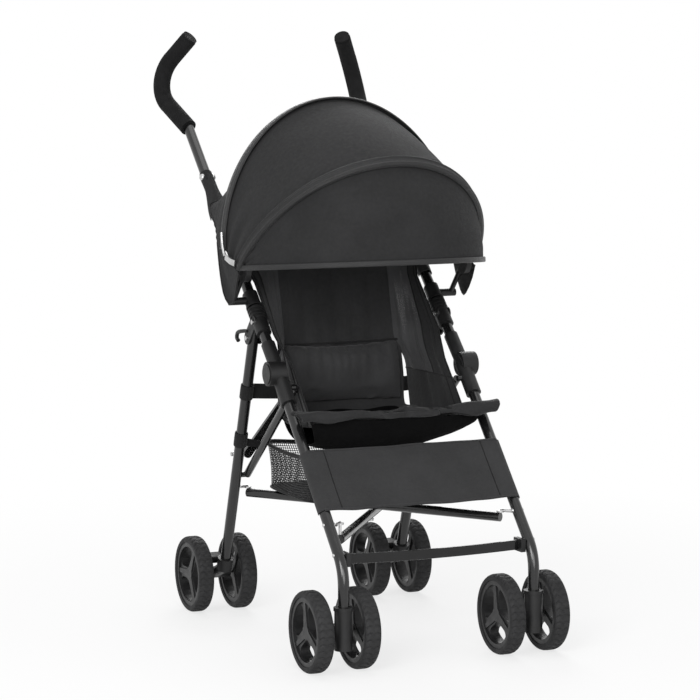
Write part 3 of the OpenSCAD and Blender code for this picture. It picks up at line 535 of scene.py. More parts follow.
# Rear panel of the canopy, with the skirts that hang from its ends.
REAR_RUN, REAR_HALF, REAR_RISE, REAR_LIFT, REAR_SAG = 0.3868, 0.195, 0.019, 0.0022, 0.006
SIDE_FROM = 0.10
SKIRT, SKIRT_AHEAD, SKIRT_PEAK, SKIRT_END, SKIRT_LEAST = 0.098, 0.0768, 0.06, 0.17, 0.04
SKIRT_START, SKIRT_BEND, SKIRT_STEPS = 0.25, 1.3, 14
HANG_RATE, END_SHARE, HANG_SHARE = 1.4, 0.25, 1.6
HOLD_TOP, HOLD_EDGE = 0.05, 0.1
REAR_EDGE = KNEE + PUSH_OUT * (TUBE_R + REAR_LIFT) + PUSH_DIR * REAR_RUN
REAR_FINE, REAR_COARSE = (0, 0.4, 29), (0.43, 1, 24)
SKIRT_FOLDS = [(0.0022, 46, 3, 0)]
REAR_FOLDS = [(0.0014, 9, 0.07, 0)]


def rear_point(t, s, fall):
    """Rear panel: s runs from the top bow to the rear edge, fall from the arch end down the skirt."""
    a = np.radians(t)
    p = top_bow(0.0, t)
    q = xyz(REAR_HALF * np.cos(a), REAR_EDGE[1], REAR_EDGE[2] + REAR_RISE * np.sin(a))
    early = np.sin(np.pi / 2 * mix(SKIRT_START, 1.0, s / SKIRT_PEAK))
    late = np.cos(np.pi / 2 * np.clip((s - SKIRT_PEAK) / (SKIRT_END - SKIRT_PEAK), 0, 1))
    drop = np.maximum(SKIRT_LEAST, np.where(s < SKIRT_PEAK, early, late))
    ahead = np.maximum(0.0, 1 - s / SKIRT_END) ** SKIRT_BEND
    sag = REAR_SAG * np.sin(np.pi * s) * np.sin(a) ** 2
    return xyz(
        mix(p[..., 0], q[..., 0], np.maximum(0.0, (s - SIDE_FROM) / (1 - SIDE_FROM))),
        mix(p[..., 1], q[..., 1], s) - fall * SKIRT_AHEAD * ahead,
        mix(p[..., 2], q[..., 2], s) - fall * SKIRT * drop - sag,
    )


def rear_panel():
    s = np.concatenate([np.linspace(*REAR_FINE), np.linspace(*REAR_COARSE)])
    falls = np.linspace(1, 0, SKIRT_STEPS + 1)[:-1]
    arc = np.linspace(ARCH_FROM, 180 - ARCH_FROM, PANEL_STEPS)
    t = np.concatenate([np.full(SKIRT_STEPS, 180 - ARCH_FROM), arc[::-1], np.full(SKIRT_STEPS, ARCH_FROM)])
    fall = np.concatenate([falls, np.zeros(PANEL_STEPS), falls[::-1]])
    s, t = np.meshgrid(s, t, indexing="ij")
    fall = np.broadcast_to(fall, s.shape)
    p = rear_point(t, s, fall)
    if normals(p)[10, SKIRT_STEPS + PANEL_STEPS // 2, 2] < 0:
        p = p[:, ::-1]
    hang = fall * ease(HANG_RATE * (1 - s / SKIRT_END))
    side = END_SHARE * ends(t) + HANG_SHARE * hang
    hold = ease(s / HOLD_TOP) * ease((1 - s) / HOLD_EDGE)
    pull = hold * (waves(SKIRT_FOLDS, s, hang) * side + waves(REAR_FOLDS, s, t))
    return p + normals(p) * (pull[..., None] - CLOTH_SINK)


REAR_GRID = rear_panel()
rear = cloth_mesh("canopy_rear_cloth", REAR_GRID, CLOTH_T, CANVAS)
soft(rear, "centre", "cloth", "canopy_rear")

# Sleeves of the bows and hems of the canopy.
TOP_SLEEVE = ridged(0.014, [(0.0, 0.0018, 0.006), (-0.0115, 0.0011, 0.0013)], low=-0.0012)
MIDDLE_SLEEVE = ridged(0.0105, [(-0.0068, 0.0042, 0.0024), (0.0078, 0.0024, 0.0015)], low=-0.0045)
FRONT_HEM = oval(0.0095, 0.0042) + [0.003, 0.0]
TOP_SLEEVE_IN, MIDDLE_SLEEVE_IN, FRONT_HEM_IN = 0.0010, 0.0012, 0.003
REAR_HEM_R, SKIRT_HEM_R = 0.0020, 0.0016

top_sleeve = sweep("canopy_top_sleeve", *bow_line(top_bow, TOP_SLEEVE_IN), TOP_SLEEVE, SLEEVE_CLOTH)
soft(top_sleeve, "centre", "cloth")
middle_line = bow_line(middle_bow, MIDDLE_SLEEVE_IN)
middle_sleeve = sweep("canopy_middle_sleeve", *middle_line, MIDDLE_SLEEVE, SLEEVE_CLOTH)
soft(middle_sleeve, "centre", "cloth")
front_hem = sweep("canopy_front_hem", *bow_line(front_bow, FRONT_HEM_IN), FRONT_HEM, SLEEVE_CLOTH)
soft(front_hem, "canopy_front", "cloth")
rear_hem = hem("canopy_rear_hem", REAR_GRID[-1], REAR_HEM_R)
skirt_hems = [
    hem("canopy_skirt_hem_" + side, REAR_GRID[:, column], SKIRT_HEM_R)
    for column, side in ((0, "a"), (-1, "b"))
]

# Ties and flaps of the rear panel, cloth sleeves of the wings, and the steel stays of the top bow.
TIE_Z, TIE_GAP, TIE_WIDE, TIE_T = 0.788, 0.0003, 0.024, 0.0018
STUD_R, STUD_HIGH, STUD_OUT, STUD_TILT = 0.0060, 0.0042, 0.0019, (-0.45, 0.1)
FLAP_SPAN, FLAP_WIDE = (0.368, 0.466), 0.0195
WING_SLEEVE_SPAN, WING_SLEEVE_WIDE = (0.212, 0.318), TUBE_R + 0.0030
WRAP_TURN, WRAP_GAP, WRAP_TAPER, WRAP_GRID = 118, 0.0024, 0.07, (29, 41)
WRAP_FOLDS = [(0.0006, 5, 60, 0)]
STAY_X, STAY_TILT, STAY_BAR = 0.2325, np.array([0.0, -0.34, 0.94]), oval(0.011, 0.0016, 6.0)
STAY_LINE = [[0.029, 0.657], [0.050, 0.659], [0.073, 0.665]]
ROD_LINE = [[0, 0.075, 0.666], [0, 0.085, 0.684], [-0.0015, 0.093, 0.706]]
ROD_R, ROD_STEPS = 0.0027, 9


def tube_wrap(name, k, span, wide, material):
    """Cloth wrapped round a push tube, wide at its low end."""
    angles = np.radians(np.linspace(-WRAP_TURN, WRAP_TURN, WRAP_GRID[1]))
    run, turn = np.meshgrid(np.linspace(*span, WRAP_GRID[0]), angles, indexing="ij")
    radius = mix(wide, TUBE_R + WRAP_GAP, ease((run - span[0]) / WRAP_TAPER)) + waves(WRAP_FOLDS, turn, run)
    ring = PUSH_OUT * np.cos(turn)[..., None] + np.array([k * 1.0, 0, 0]) * np.sin(turn)[..., None]
    grid = np.array([k * SIDE, KNEE[1], KNEE[2]]) + PUSH_DIR * run[..., None] + ring * radius[..., None]
    return cloth_mesh(name, grid if k < 0 else grid[:, ::-1], CLOTH_T, material)


flaps, sleeves = {}, {}
for k, side in SIDES:
    body = side + "_frame"
    at = np.array([k * SIDE, push_y(TIE_Z), TIE_Z])
    tie = band_mesh(f"{side}_tie", at, PUSH_DIR, TUBE_R + TIE_GAP, TIE_WIDE, TIE_T, WEBBING)
    rigid(tie, body)
    flap = tube_wrap(f"{side}_rear_flap", k, FLAP_SPAN, FLAP_WIDE, CANVAS)
    flaps[side] = rigid(flap, body)
    sleeve = tube_wrap(f"{side}_wing_sleeve", k, WING_SLEEVE_SPAN, WING_SLEEVE_WIDE, SEATING)
    sleeves[side] = rigid(sleeve, body)
    for place, way in (("outer", k), ("inner", -k)):
        face = np.array([way, *STUD_TILT])
        face = unit(face - PUSH_DIR * face.dot(PUSH_DIR))
        spot = at + face * (TUBE_R + STUD_OUT)
        rigid(dome_mesh(f"{side}_tie_stud_{place}", spot, face, STUD_R, STUD_HIGH, ZINC), body)
    plate = [[k * STAY_X, y, z] for y, z in STAY_LINE]
    soft(sweep(f"{side}_stay", plate, unit(STAY_TILT), [k * 1.0, 0, 0], STAY_BAR, ZINC), "centre", "steel")
    foot = [[k * (STAY_X + x), y, z] for x, y, z in ROD_LINE]
    soft(cord_mesh(f"{side}_stay_rod", through(foot, ROD_STEPS), ROD_R, ZINC), "centre", "steel")

# Seat sling: rows of (y, z, half width) run down the backrest, along the pan and over the lip.
BACK_SHARES = [1, 0.78, 0.55, 0.32, 0.12]
PAN_SHARES = [[0, -0.5], [0.15, -0.66], [0.42, -0.75], [0.69, -0.7], [0.92, -0.15]]
LIP_SHARES = [[0, 0.14, 1], [0.3, 0.27, 1], [0.5, 0.2, 0.99], [0.57, 0.0, 0.968], [0.5, -0.16, 0.94]]
LIP_MIDDLE, CORNER_THIN, LIP_ROLL = 0.08, 0.5, 0.006
ROLL_FROM, ROLL_AT, ROLL_WIDE = 0.80, 0.74, 0.12
CORNER_FROM, CORNER_OVER = 0.76, 0.2
PAN_SAG, SEAT_DIP = 0.040, 0.014
BACK_TO, PAN_FROM, LIP_FROM, ZONE_OVER, LIP_OVER = 0.3, 0.36, 0.72, 0.08, 0.06
SEAT_T = 0.005
SEAT_ACROSS, SEAT_LONG = 65, 113
BACK_FOLDS, BACK_CREASES = [(0.0016, 9.0, 1.2, 0)], [(0.0009, 23, 5, 0)]
PAN_FOLDS = [(0.0022, 4, 16, 0), (0.0012, 13, -9, 0)]
LIP_FOLDS = [(0.0030, 5, 0, 0.6), (0.0014, 13, 20, 0)]
SEAT_HEM_R, SEAT_SIDE_HEM_R = 0.0030, 0.0019
SEAT_ROWS = (
    [[SEAT_BACK_Y + BACK_LEAN * s, mix(SEAT_Z, BACK_TOP_Z, s), BACK_HALF] for s in BACK_SHARES]
    + [
        [mix(SEAT_BACK_Y, LIP_Y, a), SEAT_Z + PAN_SAG * b, mix(BACK_HALF, SEAT_HALF, min(4 * a, 1))]
        for a, b in PAN_SHARES
    ]
    + [[LIP_Y - LIP_DROP * a, SEAT_Z + LIP_DROP * b, LIP_HALF * c] for a, b, c in LIP_SHARES]
)


def seat_grid():
    line = through(SEAT_ROWS, SEAT_LONG)
    tangent = unit(np.gradient(line[:, :2], axis=0))
    c, row = np.meshgrid(np.linspace(-1, 1, SEAT_ACROSS), np.arange(SEAT_LONG))
    y, z, half = (line[row, i] for i in range(3))
    ny, nz = -tangent[row, 1], tangent[row, 0]
    dip = (1 - c * c) * SEAT_DIP - SEAT_T / 2
    s = row / (SEAT_LONG - 1)
    back = ease((BACK_TO - s) / ZONE_OVER)
    pan = ease((s - PAN_FROM) / ZONE_OVER) * ease((LIP_FROM - s) / LIP_OVER)
    lip = ease((s - LIP_FROM) / LIP_OVER)
    folds = (
        back * (waves(BACK_FOLDS, c, np.sin(7 * s)) + waves(BACK_CREASES, c, s))
        + pan * waves(PAN_FOLDS, c, s)
        + lip * waves(LIP_FOLDS, c, s)
    )
    roll = LIP_ROLL * ease((s - ROLL_FROM) / ZONE_OVER) * bump(np.abs(c) - ROLL_AT, ROLL_WIDE)
    corner = lip * ease((np.abs(c) - CORNER_FROM) / CORNER_OVER)
    z = mix(z, SEAT_Z + LIP_DROP * LIP_MIDDLE, CORNER_THIN * corner)
    off = dip + folds * (1 - 0.5 * c**6) - roll
    return xyz(c * half, y + ny * off, z + nz * off)


SEAT_GRID = seat_grid()
seat = cloth_mesh("seat_sling", SEAT_GRID[:, ::-1], SEAT_T, SEATING)
soft(seat, "centre", "cloth", "seat")
lip_hem = hem("seat_lip_hem", SEAT_GRID[-1], SEAT_HEM_R)
side_hems = [
    hem(f"seat_{side}_hem", SEAT_GRID[:, column], SEAT_SIDE_HEM_R)
    for column, side in ((0, "left"), (-1, "right"))
]
top_hem = hem("seat_top_hem", SEAT_GRID[0], SEAT_HEM_R)

# Lining that sags under the seat pan, with its right corner drawn up. Its near-black colour is painted shade.
LINING_LINE = [
    [-0.138, 0.396], [-0.134, 0.366], [-0.118, 0.346], [-0.066, 0.336],
    [0.0, 0.341], [0.05, 0.358], [0.084, 0.382],
]
LINING_ROWS, LINING_ACROSS, LINING_T = 30, 49, 0.0015
LINING_FRONT, LINING_BACK = 0.160, 0.122
LINING_RISE, LINING_RIGHT_RISE = 0.012, 0.024
LINING_FOLDS = [(0.002, 8, 0.3, 0)]


def lining_grid():
    line = through(LINING_LINE, LINING_ROWS)
    c, row = np.meshgrid(np.linspace(-1, 1, LINING_ACROSS), np.arange(LINING_ROWS))
    s = row / (LINING_ROWS - 1)
    lift = LINING_RISE + LINING_RIGHT_RISE * (c > 0)
    rise = lift * np.abs(c) ** 3 * np.sin(np.pi * row / (LINING_ROWS - 1))
    z = line[row, 1] + rise + waves(LINING_FOLDS, c, row)
    return xyz(c * mix(LINING_FRONT, LINING_BACK, s), line[row, 0], z)


under_sheet = cloth_mesh("seat_lining", lining_grid(), LINING_T, PAINTED_SHADE)
soft(under_sheet, "centre", "cloth")

# Pillow against the lower backrest. Its cloth is a lighter copy of the seat cloth: painted light.
PILLOW_ACROSS, PILLOW_ROWS = 81, 41
PILLOW_LOW, PILLOW_HIGH, PILLOW_WIDE, PILLOW_WAIST = -0.03, 0.325, 0.965, 0.02
PILLOW_OUT, PILLOW_FULL, PILLOW_TOP_OUT, PILLOW_BACK_OUT = 0.007, 0.021, 0.0075, 0.0008
GATHERS, GATHER_CREASES, GATHER_FADE = [(0.0046, 34, 2.2, 0)], [(0.0024, 55, 3, 0)], 3.2
PILLOW_FOLDS = [(0.0035, 6, 4, 0)]
PILLOW_CAP = 0.006
PILLOW_SEAM_R, PILLOW_SEAM_OUT = 0.0022, 0.003


def back_point(c, s, out):
    """A point in front of the backrest: c across, s up it, out towards the child."""
    lean = unit(np.array([BACK_LEAN, BACK_TOP_Z - SEAT_Z]))
    dip = (1 - c * c) * SEAT_DIP
    return xyz(
        c * BACK_HALF,
        SEAT_BACK_Y + BACK_LEAN * s + lean[1] * (dip - out),
        mix(SEAT_Z, BACK_TOP_Z, s) - lean[0] * (dip - out),
    )


def pillow():
    """Front and back of the pad, before it is filled."""
    c, v = np.meshgrid(np.linspace(-1, 1, PILLOW_ACROSS), np.linspace(0, 1, PILLOW_ROWS))
    crown = np.clip(np.sin(np.pi * np.clip(0.06 + 0.94 * v, 0, 1) ** 0.8), 0, 1) ** 0.6
    edge = np.clip(1 - np.abs(c) ** 7, 0, 1) ** 0.5
    gather = np.exp(-GATHER_FADE * v) * (waves(GATHERS, c, np.sin(5 * c)) + waves(GATHER_CREASES, c, v))
    sag = waves(PILLOW_FOLDS, c, v) * np.sin(np.pi * v)
    out = PILLOW_OUT + edge * crown * (PILLOW_FULL + gather + sag)
    out[0] = PILLOW_TOP_OUT
    place = c * (PILLOW_WIDE - PILLOW_WAIST * np.sin(np.pi * v)), mix(PILLOW_HIGH, PILLOW_LOW, v)
    return back_point(*place, out), back_point(*place, np.full_like(out, PILLOW_BACK_OUT))


def evaluated(obj):
    """The object's mesh with its modifiers applied."""
    mesh = bpy.data.meshes.new_from_object(obj.evaluated_get(bpy.context.evaluated_depsgraph_get()))
    obj.modifiers.clear()
    return mesh


def corners(mesh):
    p = np.empty(len(mesh.vertices) * 3)
    mesh.vertices.foreach_get("co", p)
    return p.reshape(-1, 3)


def inflate(obj, cap, voxel=0.005, pressure=4.0, frames=20):
    """Fill a padded piece: a cloth simulation under pressure, kept as its mesh. No point moves over cap."""
    material = obj.data.materials[0]
    remesh = obj.modifiers.new("voxels", "REMESH")
    remesh.mode = "VOXEL"
    remesh.voxel_size = voxel
    obj.data = evaluated(obj)
    start = corners(obj.data)
    cloth = obj.modifiers.new("cloth", "CLOTH")
    cloth.settings.use_pressure = True
    cloth.settings.uniform_pressure_force = pressure
    cloth.settings.effector_weights.gravity = 0.0
    for step in range(1, frames + 1):
        bpy.context.scene.frame_set(step)
    move = corners(evaluated(obj)) - start
    far = np.linalg.norm(move, axis=1, keepdims=True)
    move *= np.minimum(1.0, cap / np.maximum(far, 1e-9))
    obj.data.vertices.foreach_set("co", (start + move).ravel())
    bpy.context.scene.frame_set(1)
    fine = obj.modifiers.new("fine", "SUBSURF")
    fine.levels = fine.render_levels = 1
    obj.data = evaluated(obj)
    flat = obj.data.uv_layers.new(name="UVMap")
    index = np.empty(len(obj.data.loops), dtype=np.int32)
    obj.data.loops.foreach_get("vertex_index", index)
    flat.data.foreach_set("uv", corners(obj.data)[index][:, [0, 2]].astype(np.float32).ravel())
    obj.data.materials.clear()
    obj.data.materials.append(material)
    obj.data.polygons.foreach_set("use_smooth", [True] * len(obj.data.polygons))


PILLOW, PILLOW_BACK = pillow()
pad = cloth_mesh("back_pillow", PILLOW, 0.0, LIT_PILLOW_CLOTH, back=PILLOW_BACK)
inflate(pad, PILLOW_CAP)
soft(pad, "centre", "cloth")
hem("back_pillow_seam", PILLOW[0] + [0, -PILLOW_SEAM_OUT, 0], PILLOW_SEAM_R)

# Side wings: u runs up the wing, s from the backrest out to the tube.
NET_INNER, NET_BACK, NET_SHARE = 0.106, 0.006, 0.60
WING_GAP, WING_T, WING_OUT, WING_SWELL, WING_STEPS = 0.009, 0.001, 0.001, 0.007, 33
WING_FOOT_Z, WING_TOP_Z, WING_BACK_FROM, WING_BACK_TO, WING_LOW = 0.384, 0.655, -0.08, 0.9, 0.24
TUCK_FROM, TUCK_OVER = 0.26, 0.2
REACH_LOW, REACH_HIGH, REACH_Z, REACH_OVER = 0.1453, 0.1576, 0.4784, 0.0504
REACH_TOP, REACH_TOP_Z, REACH_TOP_OVER = 0.006, 0.612, 0.02
WING_FOLDS = [(1, 19, 2.5, 0), (0.5, 37, -3, 0)]
WING_HEM_R, WING_HEM_OUT, WING_HEM_STEPS = 0.0019, 0.0008, 40
EDGE_SHARE, SECOND_SHARE, TOP_SHARE = 0.985, 0.86, 0.995


def wing_point(u, s):
    v = mix(WING_BACK_FROM, WING_BACK_TO, u)
    tuck = ease((u - TUCK_FROM) / TUCK_OVER)
    inner = mix(BACK_HALF + WING_GAP, NET_INNER, tuck)
    b = xyz(inner, SEAT_BACK_Y + BACK_LEAN * v - NET_BACK * tuck, mix(SEAT_Z, BACK_TOP_Z, v))
    z = mix(WING_FOOT_Z, WING_TOP_Z, u)
    y = np.where(z > KNEE[2], push_y(z), leg_y(z))
    reach = mix(REACH_LOW, REACH_HIGH, np.clip((z - REACH_Z) / REACH_OVER, 0, 1))
    reach = reach + REACH_TOP * ease((z - REACH_TOP_Z) / REACH_TOP_OVER)
    p = mix(b, xyz(reach, y, z), s[..., None])
    p[..., 0] += WING_SWELL * np.sin(np.pi * s) * u
    return p


def wing_sheet(name, u_span, s_span, k, material, ripple):
    s, u = np.meshgrid(np.linspace(*s_span, WING_STEPS), np.linspace(*u_span, WING_STEPS))
    p = wing_point(u, s)
    inside = np.sin(np.pi * np.clip((s - s_span[0]) / (s_span[1] - s_span[0]), 0, 1))
    p[..., 0] += WING_OUT + ripple * waves(WING_FOLDS, s, u) * inside
    p[..., 0] *= k
    return cloth_mesh(name, p if k > 0 else p[:, ::-1], WING_T, material)


for k, side in SIDES:
    net = wing_sheet(f"{side}_wing_net", (WING_LOW, 1), (0.0, NET_SHARE), k, NET, ripple=0.0016)
    soft(net, "centre", "mesh_cloth", f"{side}_wing")
    low = wing_sheet(f"{side}_wing_low", (0, WING_LOW), (0.0, 1.0), k, SEATING, ripple=0.0009)
    soft(low, "centre", "cloth")
    outer = wing_sheet(f"{side}_wing_outer", (WING_LOW, 1), (NET_SHARE, 1.0), k, SEATING, ripple=0.0010)
    soft(outer, "centre", "cloth")
    line = np.linspace(0, 1, WING_HEM_STEPS)
    flat = np.full(WING_HEM_STEPS, 1.0)
    edges = {
        "edge": (line, flat * EDGE_SHARE),
        "inner": (np.linspace(WING_LOW, 1, WING_HEM_STEPS), flat * NET_SHARE),
        "second": (line, flat * SECOND_SHARE),
        "top": (flat * TOP_SHARE, line),
        "foot": (flat * WING_LOW, line),
    }
    for place, (a, b) in edges.items():
        path = wing_point(a, b)
        path[:, 0] = (path[:, 0] + WING_HEM_OUT) * k
        hem(f"{side}_wing_{place}", path, WING_HEM_R)

# Leg panel: a cloth that wraps both front legs. Its cloth is lighter than the canopy cloth: painted light.
DOWN = np.array([0.0, -math.cos(LEG_SLOPE), -math.sin(LEG_SLOPE)])
OUT = np.array([0.0, -math.sin(LEG_SLOPE), math.cos(LEG_SLOPE)])
PANEL_TOP_Z, PANEL_LOW_Z, PANEL_T = 0.344, 0.258, 0.0014
PANEL_UP = (KNEE[2] - PANEL_TOP_Z) / math.sin(LEG_SLOPE)
PANEL_DOWN = (KNEE[2] - PANEL_LOW_Z) / math.sin(LEG_SLOPE)
WRAP = TUBE_R + 0.0022
PANEL_INSIDE, PANEL_INSIDE_OVER = 0.165, 0.05
WRAP_FROM, WRAP_TO, PANEL_LEVEL = 205, 90, 0.4
PANEL_HOLLOW, PANEL_DROOP, PANEL_DROOP_OVER, PANEL_SLACK = 0.0035, 0.0032, 0.2, 0.004
PANEL_FOLDS = [(0.0011, 31, 3, 0), (0.0007, 70, -5, 0)]
LEG_ROWS, WRAP_STEPS, FLAT_STEPS, HEM_SKIP = 25, 24, 75, 20
PANEL_SEAM_X, PANEL_SEAM_R, PANEL_HEM_R, PANEL_HEM_IN = 0.148, 0.0010, 0.0021, 0.0004


def panel_grid():
    turn = np.radians(np.linspace(WRAP_FROM, WRAP_TO, WRAP_STEPS))
    right = np.stack([SIDE + WRAP * np.cos(np.pi - turn), WRAP * np.sin(turn)], -1)
    middle = np.linspace(SIDE, -SIDE, FLAT_STEPS)[1:-1]
    flat = np.stack([middle, np.full(len(middle), WRAP)], -1)
    left = right[::-1] * [-1, 1]
    line = np.concatenate([right, flat, left])
    v, i = np.meshgrid(np.linspace(0, 1, LEG_ROWS), np.arange(len(line)), indexing="ij")
    x, out = line[i, 0], line[i, 1]
    inside = ease((PANEL_INSIDE - np.abs(x)) / PANEL_INSIDE_OVER)
    droop = PANEL_DROOP * ease((PANEL_DROOP_OVER - v) / PANEL_DROOP_OVER)
    out = out - inside * (PANEL_HOLLOW * np.sin(np.pi * v) + droop) + inside * waves(PANEL_FOLDS, x, v)
    down = mix(PANEL_UP, PANEL_DOWN, v) + inside * PANEL_SLACK * (v - PANEL_LEVEL)
    p = KNEE + x[..., None] * [1, 0, 0] + down[..., None] * DOWN + out[..., None] * OUT
    faces_out = normals(p)[LEG_ROWS // 2, len(line) // 2].dot(OUT) >= 0
    return p if faces_out else p[:, ::-1]


PANEL = panel_grid()
leg_panel = cloth_mesh("leg_panel_cloth", PANEL, PANEL_T, LIT_PANEL_CLOTH)
soft(leg_panel, "centre", "cloth", "leg_panel")
for row, place in ((0, "top"), (-1, "low")):
    edge = PANEL[row, HEM_SKIP:-HEM_SKIP] - OUT * PANEL_HEM_IN
    hem(f"leg_panel_{place}_hem", edge, PANEL_HEM_R, LIT_PANEL_CLOTH)
for k, place in SIDES:
    column = np.argmin(np.abs(PANEL[LEG_ROWS // 2, :, 0] - k * PANEL_SEAM_X))
    hem(f"leg_panel_{place}_seam", PANEL[:, column], PANEL_SEAM_R)

# Foot strip.
STRIP_BAR, STRIP_SAG, STRIP_STEPS = oval(0.017, 0.005, 5.0), 0.003, 41
strip_low, strip_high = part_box("foot_strip")
strip_x = np.linspace(strip_low[0], strip_high[0], STRIP_STEPS)
strip_mid = (np.array(strip_low) + np.array(strip_high)) / 2
strip_path = xyz(strip_x, strip_mid[1], strip_mid[2] - STRIP_SAG * (1 - (strip_x / strip_high[0]) ** 2))
strip = sweep("foot_strip_gloss", strip_path, UP, FORWARD, STRIP_BAR, GLOSS)
soft(strip, "centre", "gloss_strip", "foot_strip")

# Basket.
basket_low, basket_high = (np.array(v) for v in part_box("basket"))
BASKET_HALF, BASKET_Y, BASKET_REACH, BASKET_SQUARE = 0.131, 0.0378, 0.112, 7.0
BASKET_IN, BASKET_OUT, BASKET_DIP, BASKET_LIFT, BASKET_SLACK = 0.004, 0.017, 0.011, 0.002, 0.004
BASKET_ROWS, BASKET_STEPS, BASKET_FINE, BASKET_T = 15, 121, 720, 0.0010
FLOOR_ROWS, FLOOR_START, FLOOR_SINK, FLOOR_FOLD, FLOOR_T = 19, 0.02, 0.002, 0.0012, 0.0012
BASKET_HEM_R, FLOOR_HEM_R = 0.0034, 0.0022
BASKET_ENDS, SIDE_DIP, SIDE_SLACK, SLACK_WAVES = 0.9, 0.7, 0.4, 5
FLOOR_RATES = 40, 35


def basket_loop(height):
    """One loop round the basket, wider towards its rim."""
    a = np.linspace(0, 2 * np.pi, BASKET_STEPS)
    ring = oval(2, 2, BASKET_SQUARE, BASKET_FINE)
    ring = np.vstack([ring, ring[:1]])
    place = np.arange(BASKET_FINE + 1)
    spot = np.interp(a, np.linspace(0, 2 * np.pi, BASKET_FINE + 1), place)
    x = np.interp(spot, place, ring[:, 0])
    y = np.interp(spot, place, ring[:, 1])
    reach = mix(BASKET_REACH - BASKET_IN, BASKET_REACH + BASKET_OUT, height)
    middle = 1 - np.minimum(x**2, 1) * np.minimum(y**2, 1)
    dip = height * BASKET_DIP * middle * np.where(np.abs(y) > BASKET_ENDS, 1.0, SIDE_DIP)
    z = mix(basket_low[2] + BASKET_LIFT, basket_high[2], height) - dip
    belly = np.sin(np.pi * height)
    slack = belly * BASKET_SLACK * np.sin(SLACK_WAVES * a)
    half = BASKET_HALF - slack * SIDE_SLACK - BASKET_SLACK * belly
    return xyz(x * half, BASKET_Y + y * (reach - slack), z)


BASKET_WALL = np.stack([basket_loop(h) for h in np.linspace(0, 1, BASKET_ROWS)])
wall = cloth_mesh("basket_walls", BASKET_WALL[::-1], BASKET_T, BASKET_NET)
soft(wall, "centre", "mesh_cloth", "basket")
basket_hem = hem("basket_hem", basket_loop(1.0)[:-1], BASKET_HEM_R, closed=True)
floor_middle = np.array([0, BASKET_Y, basket_low[2] - FLOOR_SINK])
floor_shares = np.maximum(np.linspace(0, 1, FLOOR_ROWS), FLOOR_START)
FLOOR = np.stack([mix(floor_middle, basket_loop(0.0), f) for f in floor_shares])
FLOOR[..., 2] += FLOOR_FOLD * np.sin(FLOOR_RATES[0] * FLOOR[..., 0]) * np.sin(FLOOR_RATES[1] * FLOOR[..., 1])
# The basket floor takes the near-black cloth of painted shade.
floor_cloth = cloth_mesh("basket_floor", FLOOR, FLOOR_T, PAINTED_SHADE)
soft(floor_cloth, "centre", "cloth")
low_hem = hem("basket_floor_hem", basket_loop(0.0)[:-1], FLOOR_HEM_R, closed=True)

# Straps and loops on the rear legs, and the tapes that hold the basket.
REAR_DIR = unit(np.array([0.0, REAR_FOOT[0] - REAR_TOP[0], REAR_FOOT[1] - REAR_TOP[1]]))
STRAP_HALF, STRAP_Z, STRAP_SAG, STRAP_BAR = 0.166, 0.421, 0.006, oval(0.027, 0.0018, 8.0)
LOOPS = (("high", STRAP_Z), ("low", 0.332))
LOOP_R, LOOP_WIDE, LOOP_T = TUBE_R + 0.0004, 0.026, 0.0022
TAPE_BAR, TAPE_STEPS = oval(0.014, 0.0016, 8.0), 8
TAPE_FROM = np.array([0.130, rear_y(0.318) - 0.003, 0.318])
TAPE_TO = np.array([0.1655, rear_y(0.328), 0.326])
strap_x = np.linspace(-STRAP_HALF, STRAP_HALF, STRIP_STEPS)
strap_z = STRAP_Z - STRAP_SAG * (1 - (strap_x / STRAP_HALF) ** 2)
strap_path = xyz(strap_x, rear_y(STRAP_Z) + TUBE_R / 2, strap_z)
strap = sweep("back_strap_webbing", strap_path, UP, REARWARD, STRAP_BAR, WEBBING)
soft(strap, "centre", "cloth", "back_strap")
for k, side in SIDES:
    for place, z in LOOPS:
        at = [k * SIDE, rear_y(z), z]
        name = f"{side}_rear_loop_{place}"
        loop = band_mesh(name, at, REAR_DIR, LOOP_R, LOOP_WIDE, LOOP_T, WEBBING)
        rigid(loop, f"{side}_frame")
    tape_path = np.linspace(TAPE_FROM * [k, 1, 1], TAPE_TO * [k, 1, 1], TAPE_STEPS)
    tape = sweep(f"basket_tape_{side}", tape_path, UP, REARWARD, TAPE_BAR, WEBBING)
    soft(tape, "centre", "cloth")

# Tyres with a zig-zag tread.
TYRE_BORE, TYRE_SHOULDER, TYRE_CROWN, TYRE_LIP = 0.0581, 0.0045, 0.0012, 0.0004
TYRE_AROUND, TYRE_ACROSS, TYRE_SHARP = 288, 25, 40
TREADS, TREAD_LEAN, TREAD_SHARE, TREAD_DEPTH = 36, 0.55, 0.27, 0.0016
TREAD_EDGE, TREAD_EDGE_OVER = 0.004, 0.002
SHOULDER_SHARE, FLAT_SHARE = 0.75, 0.4


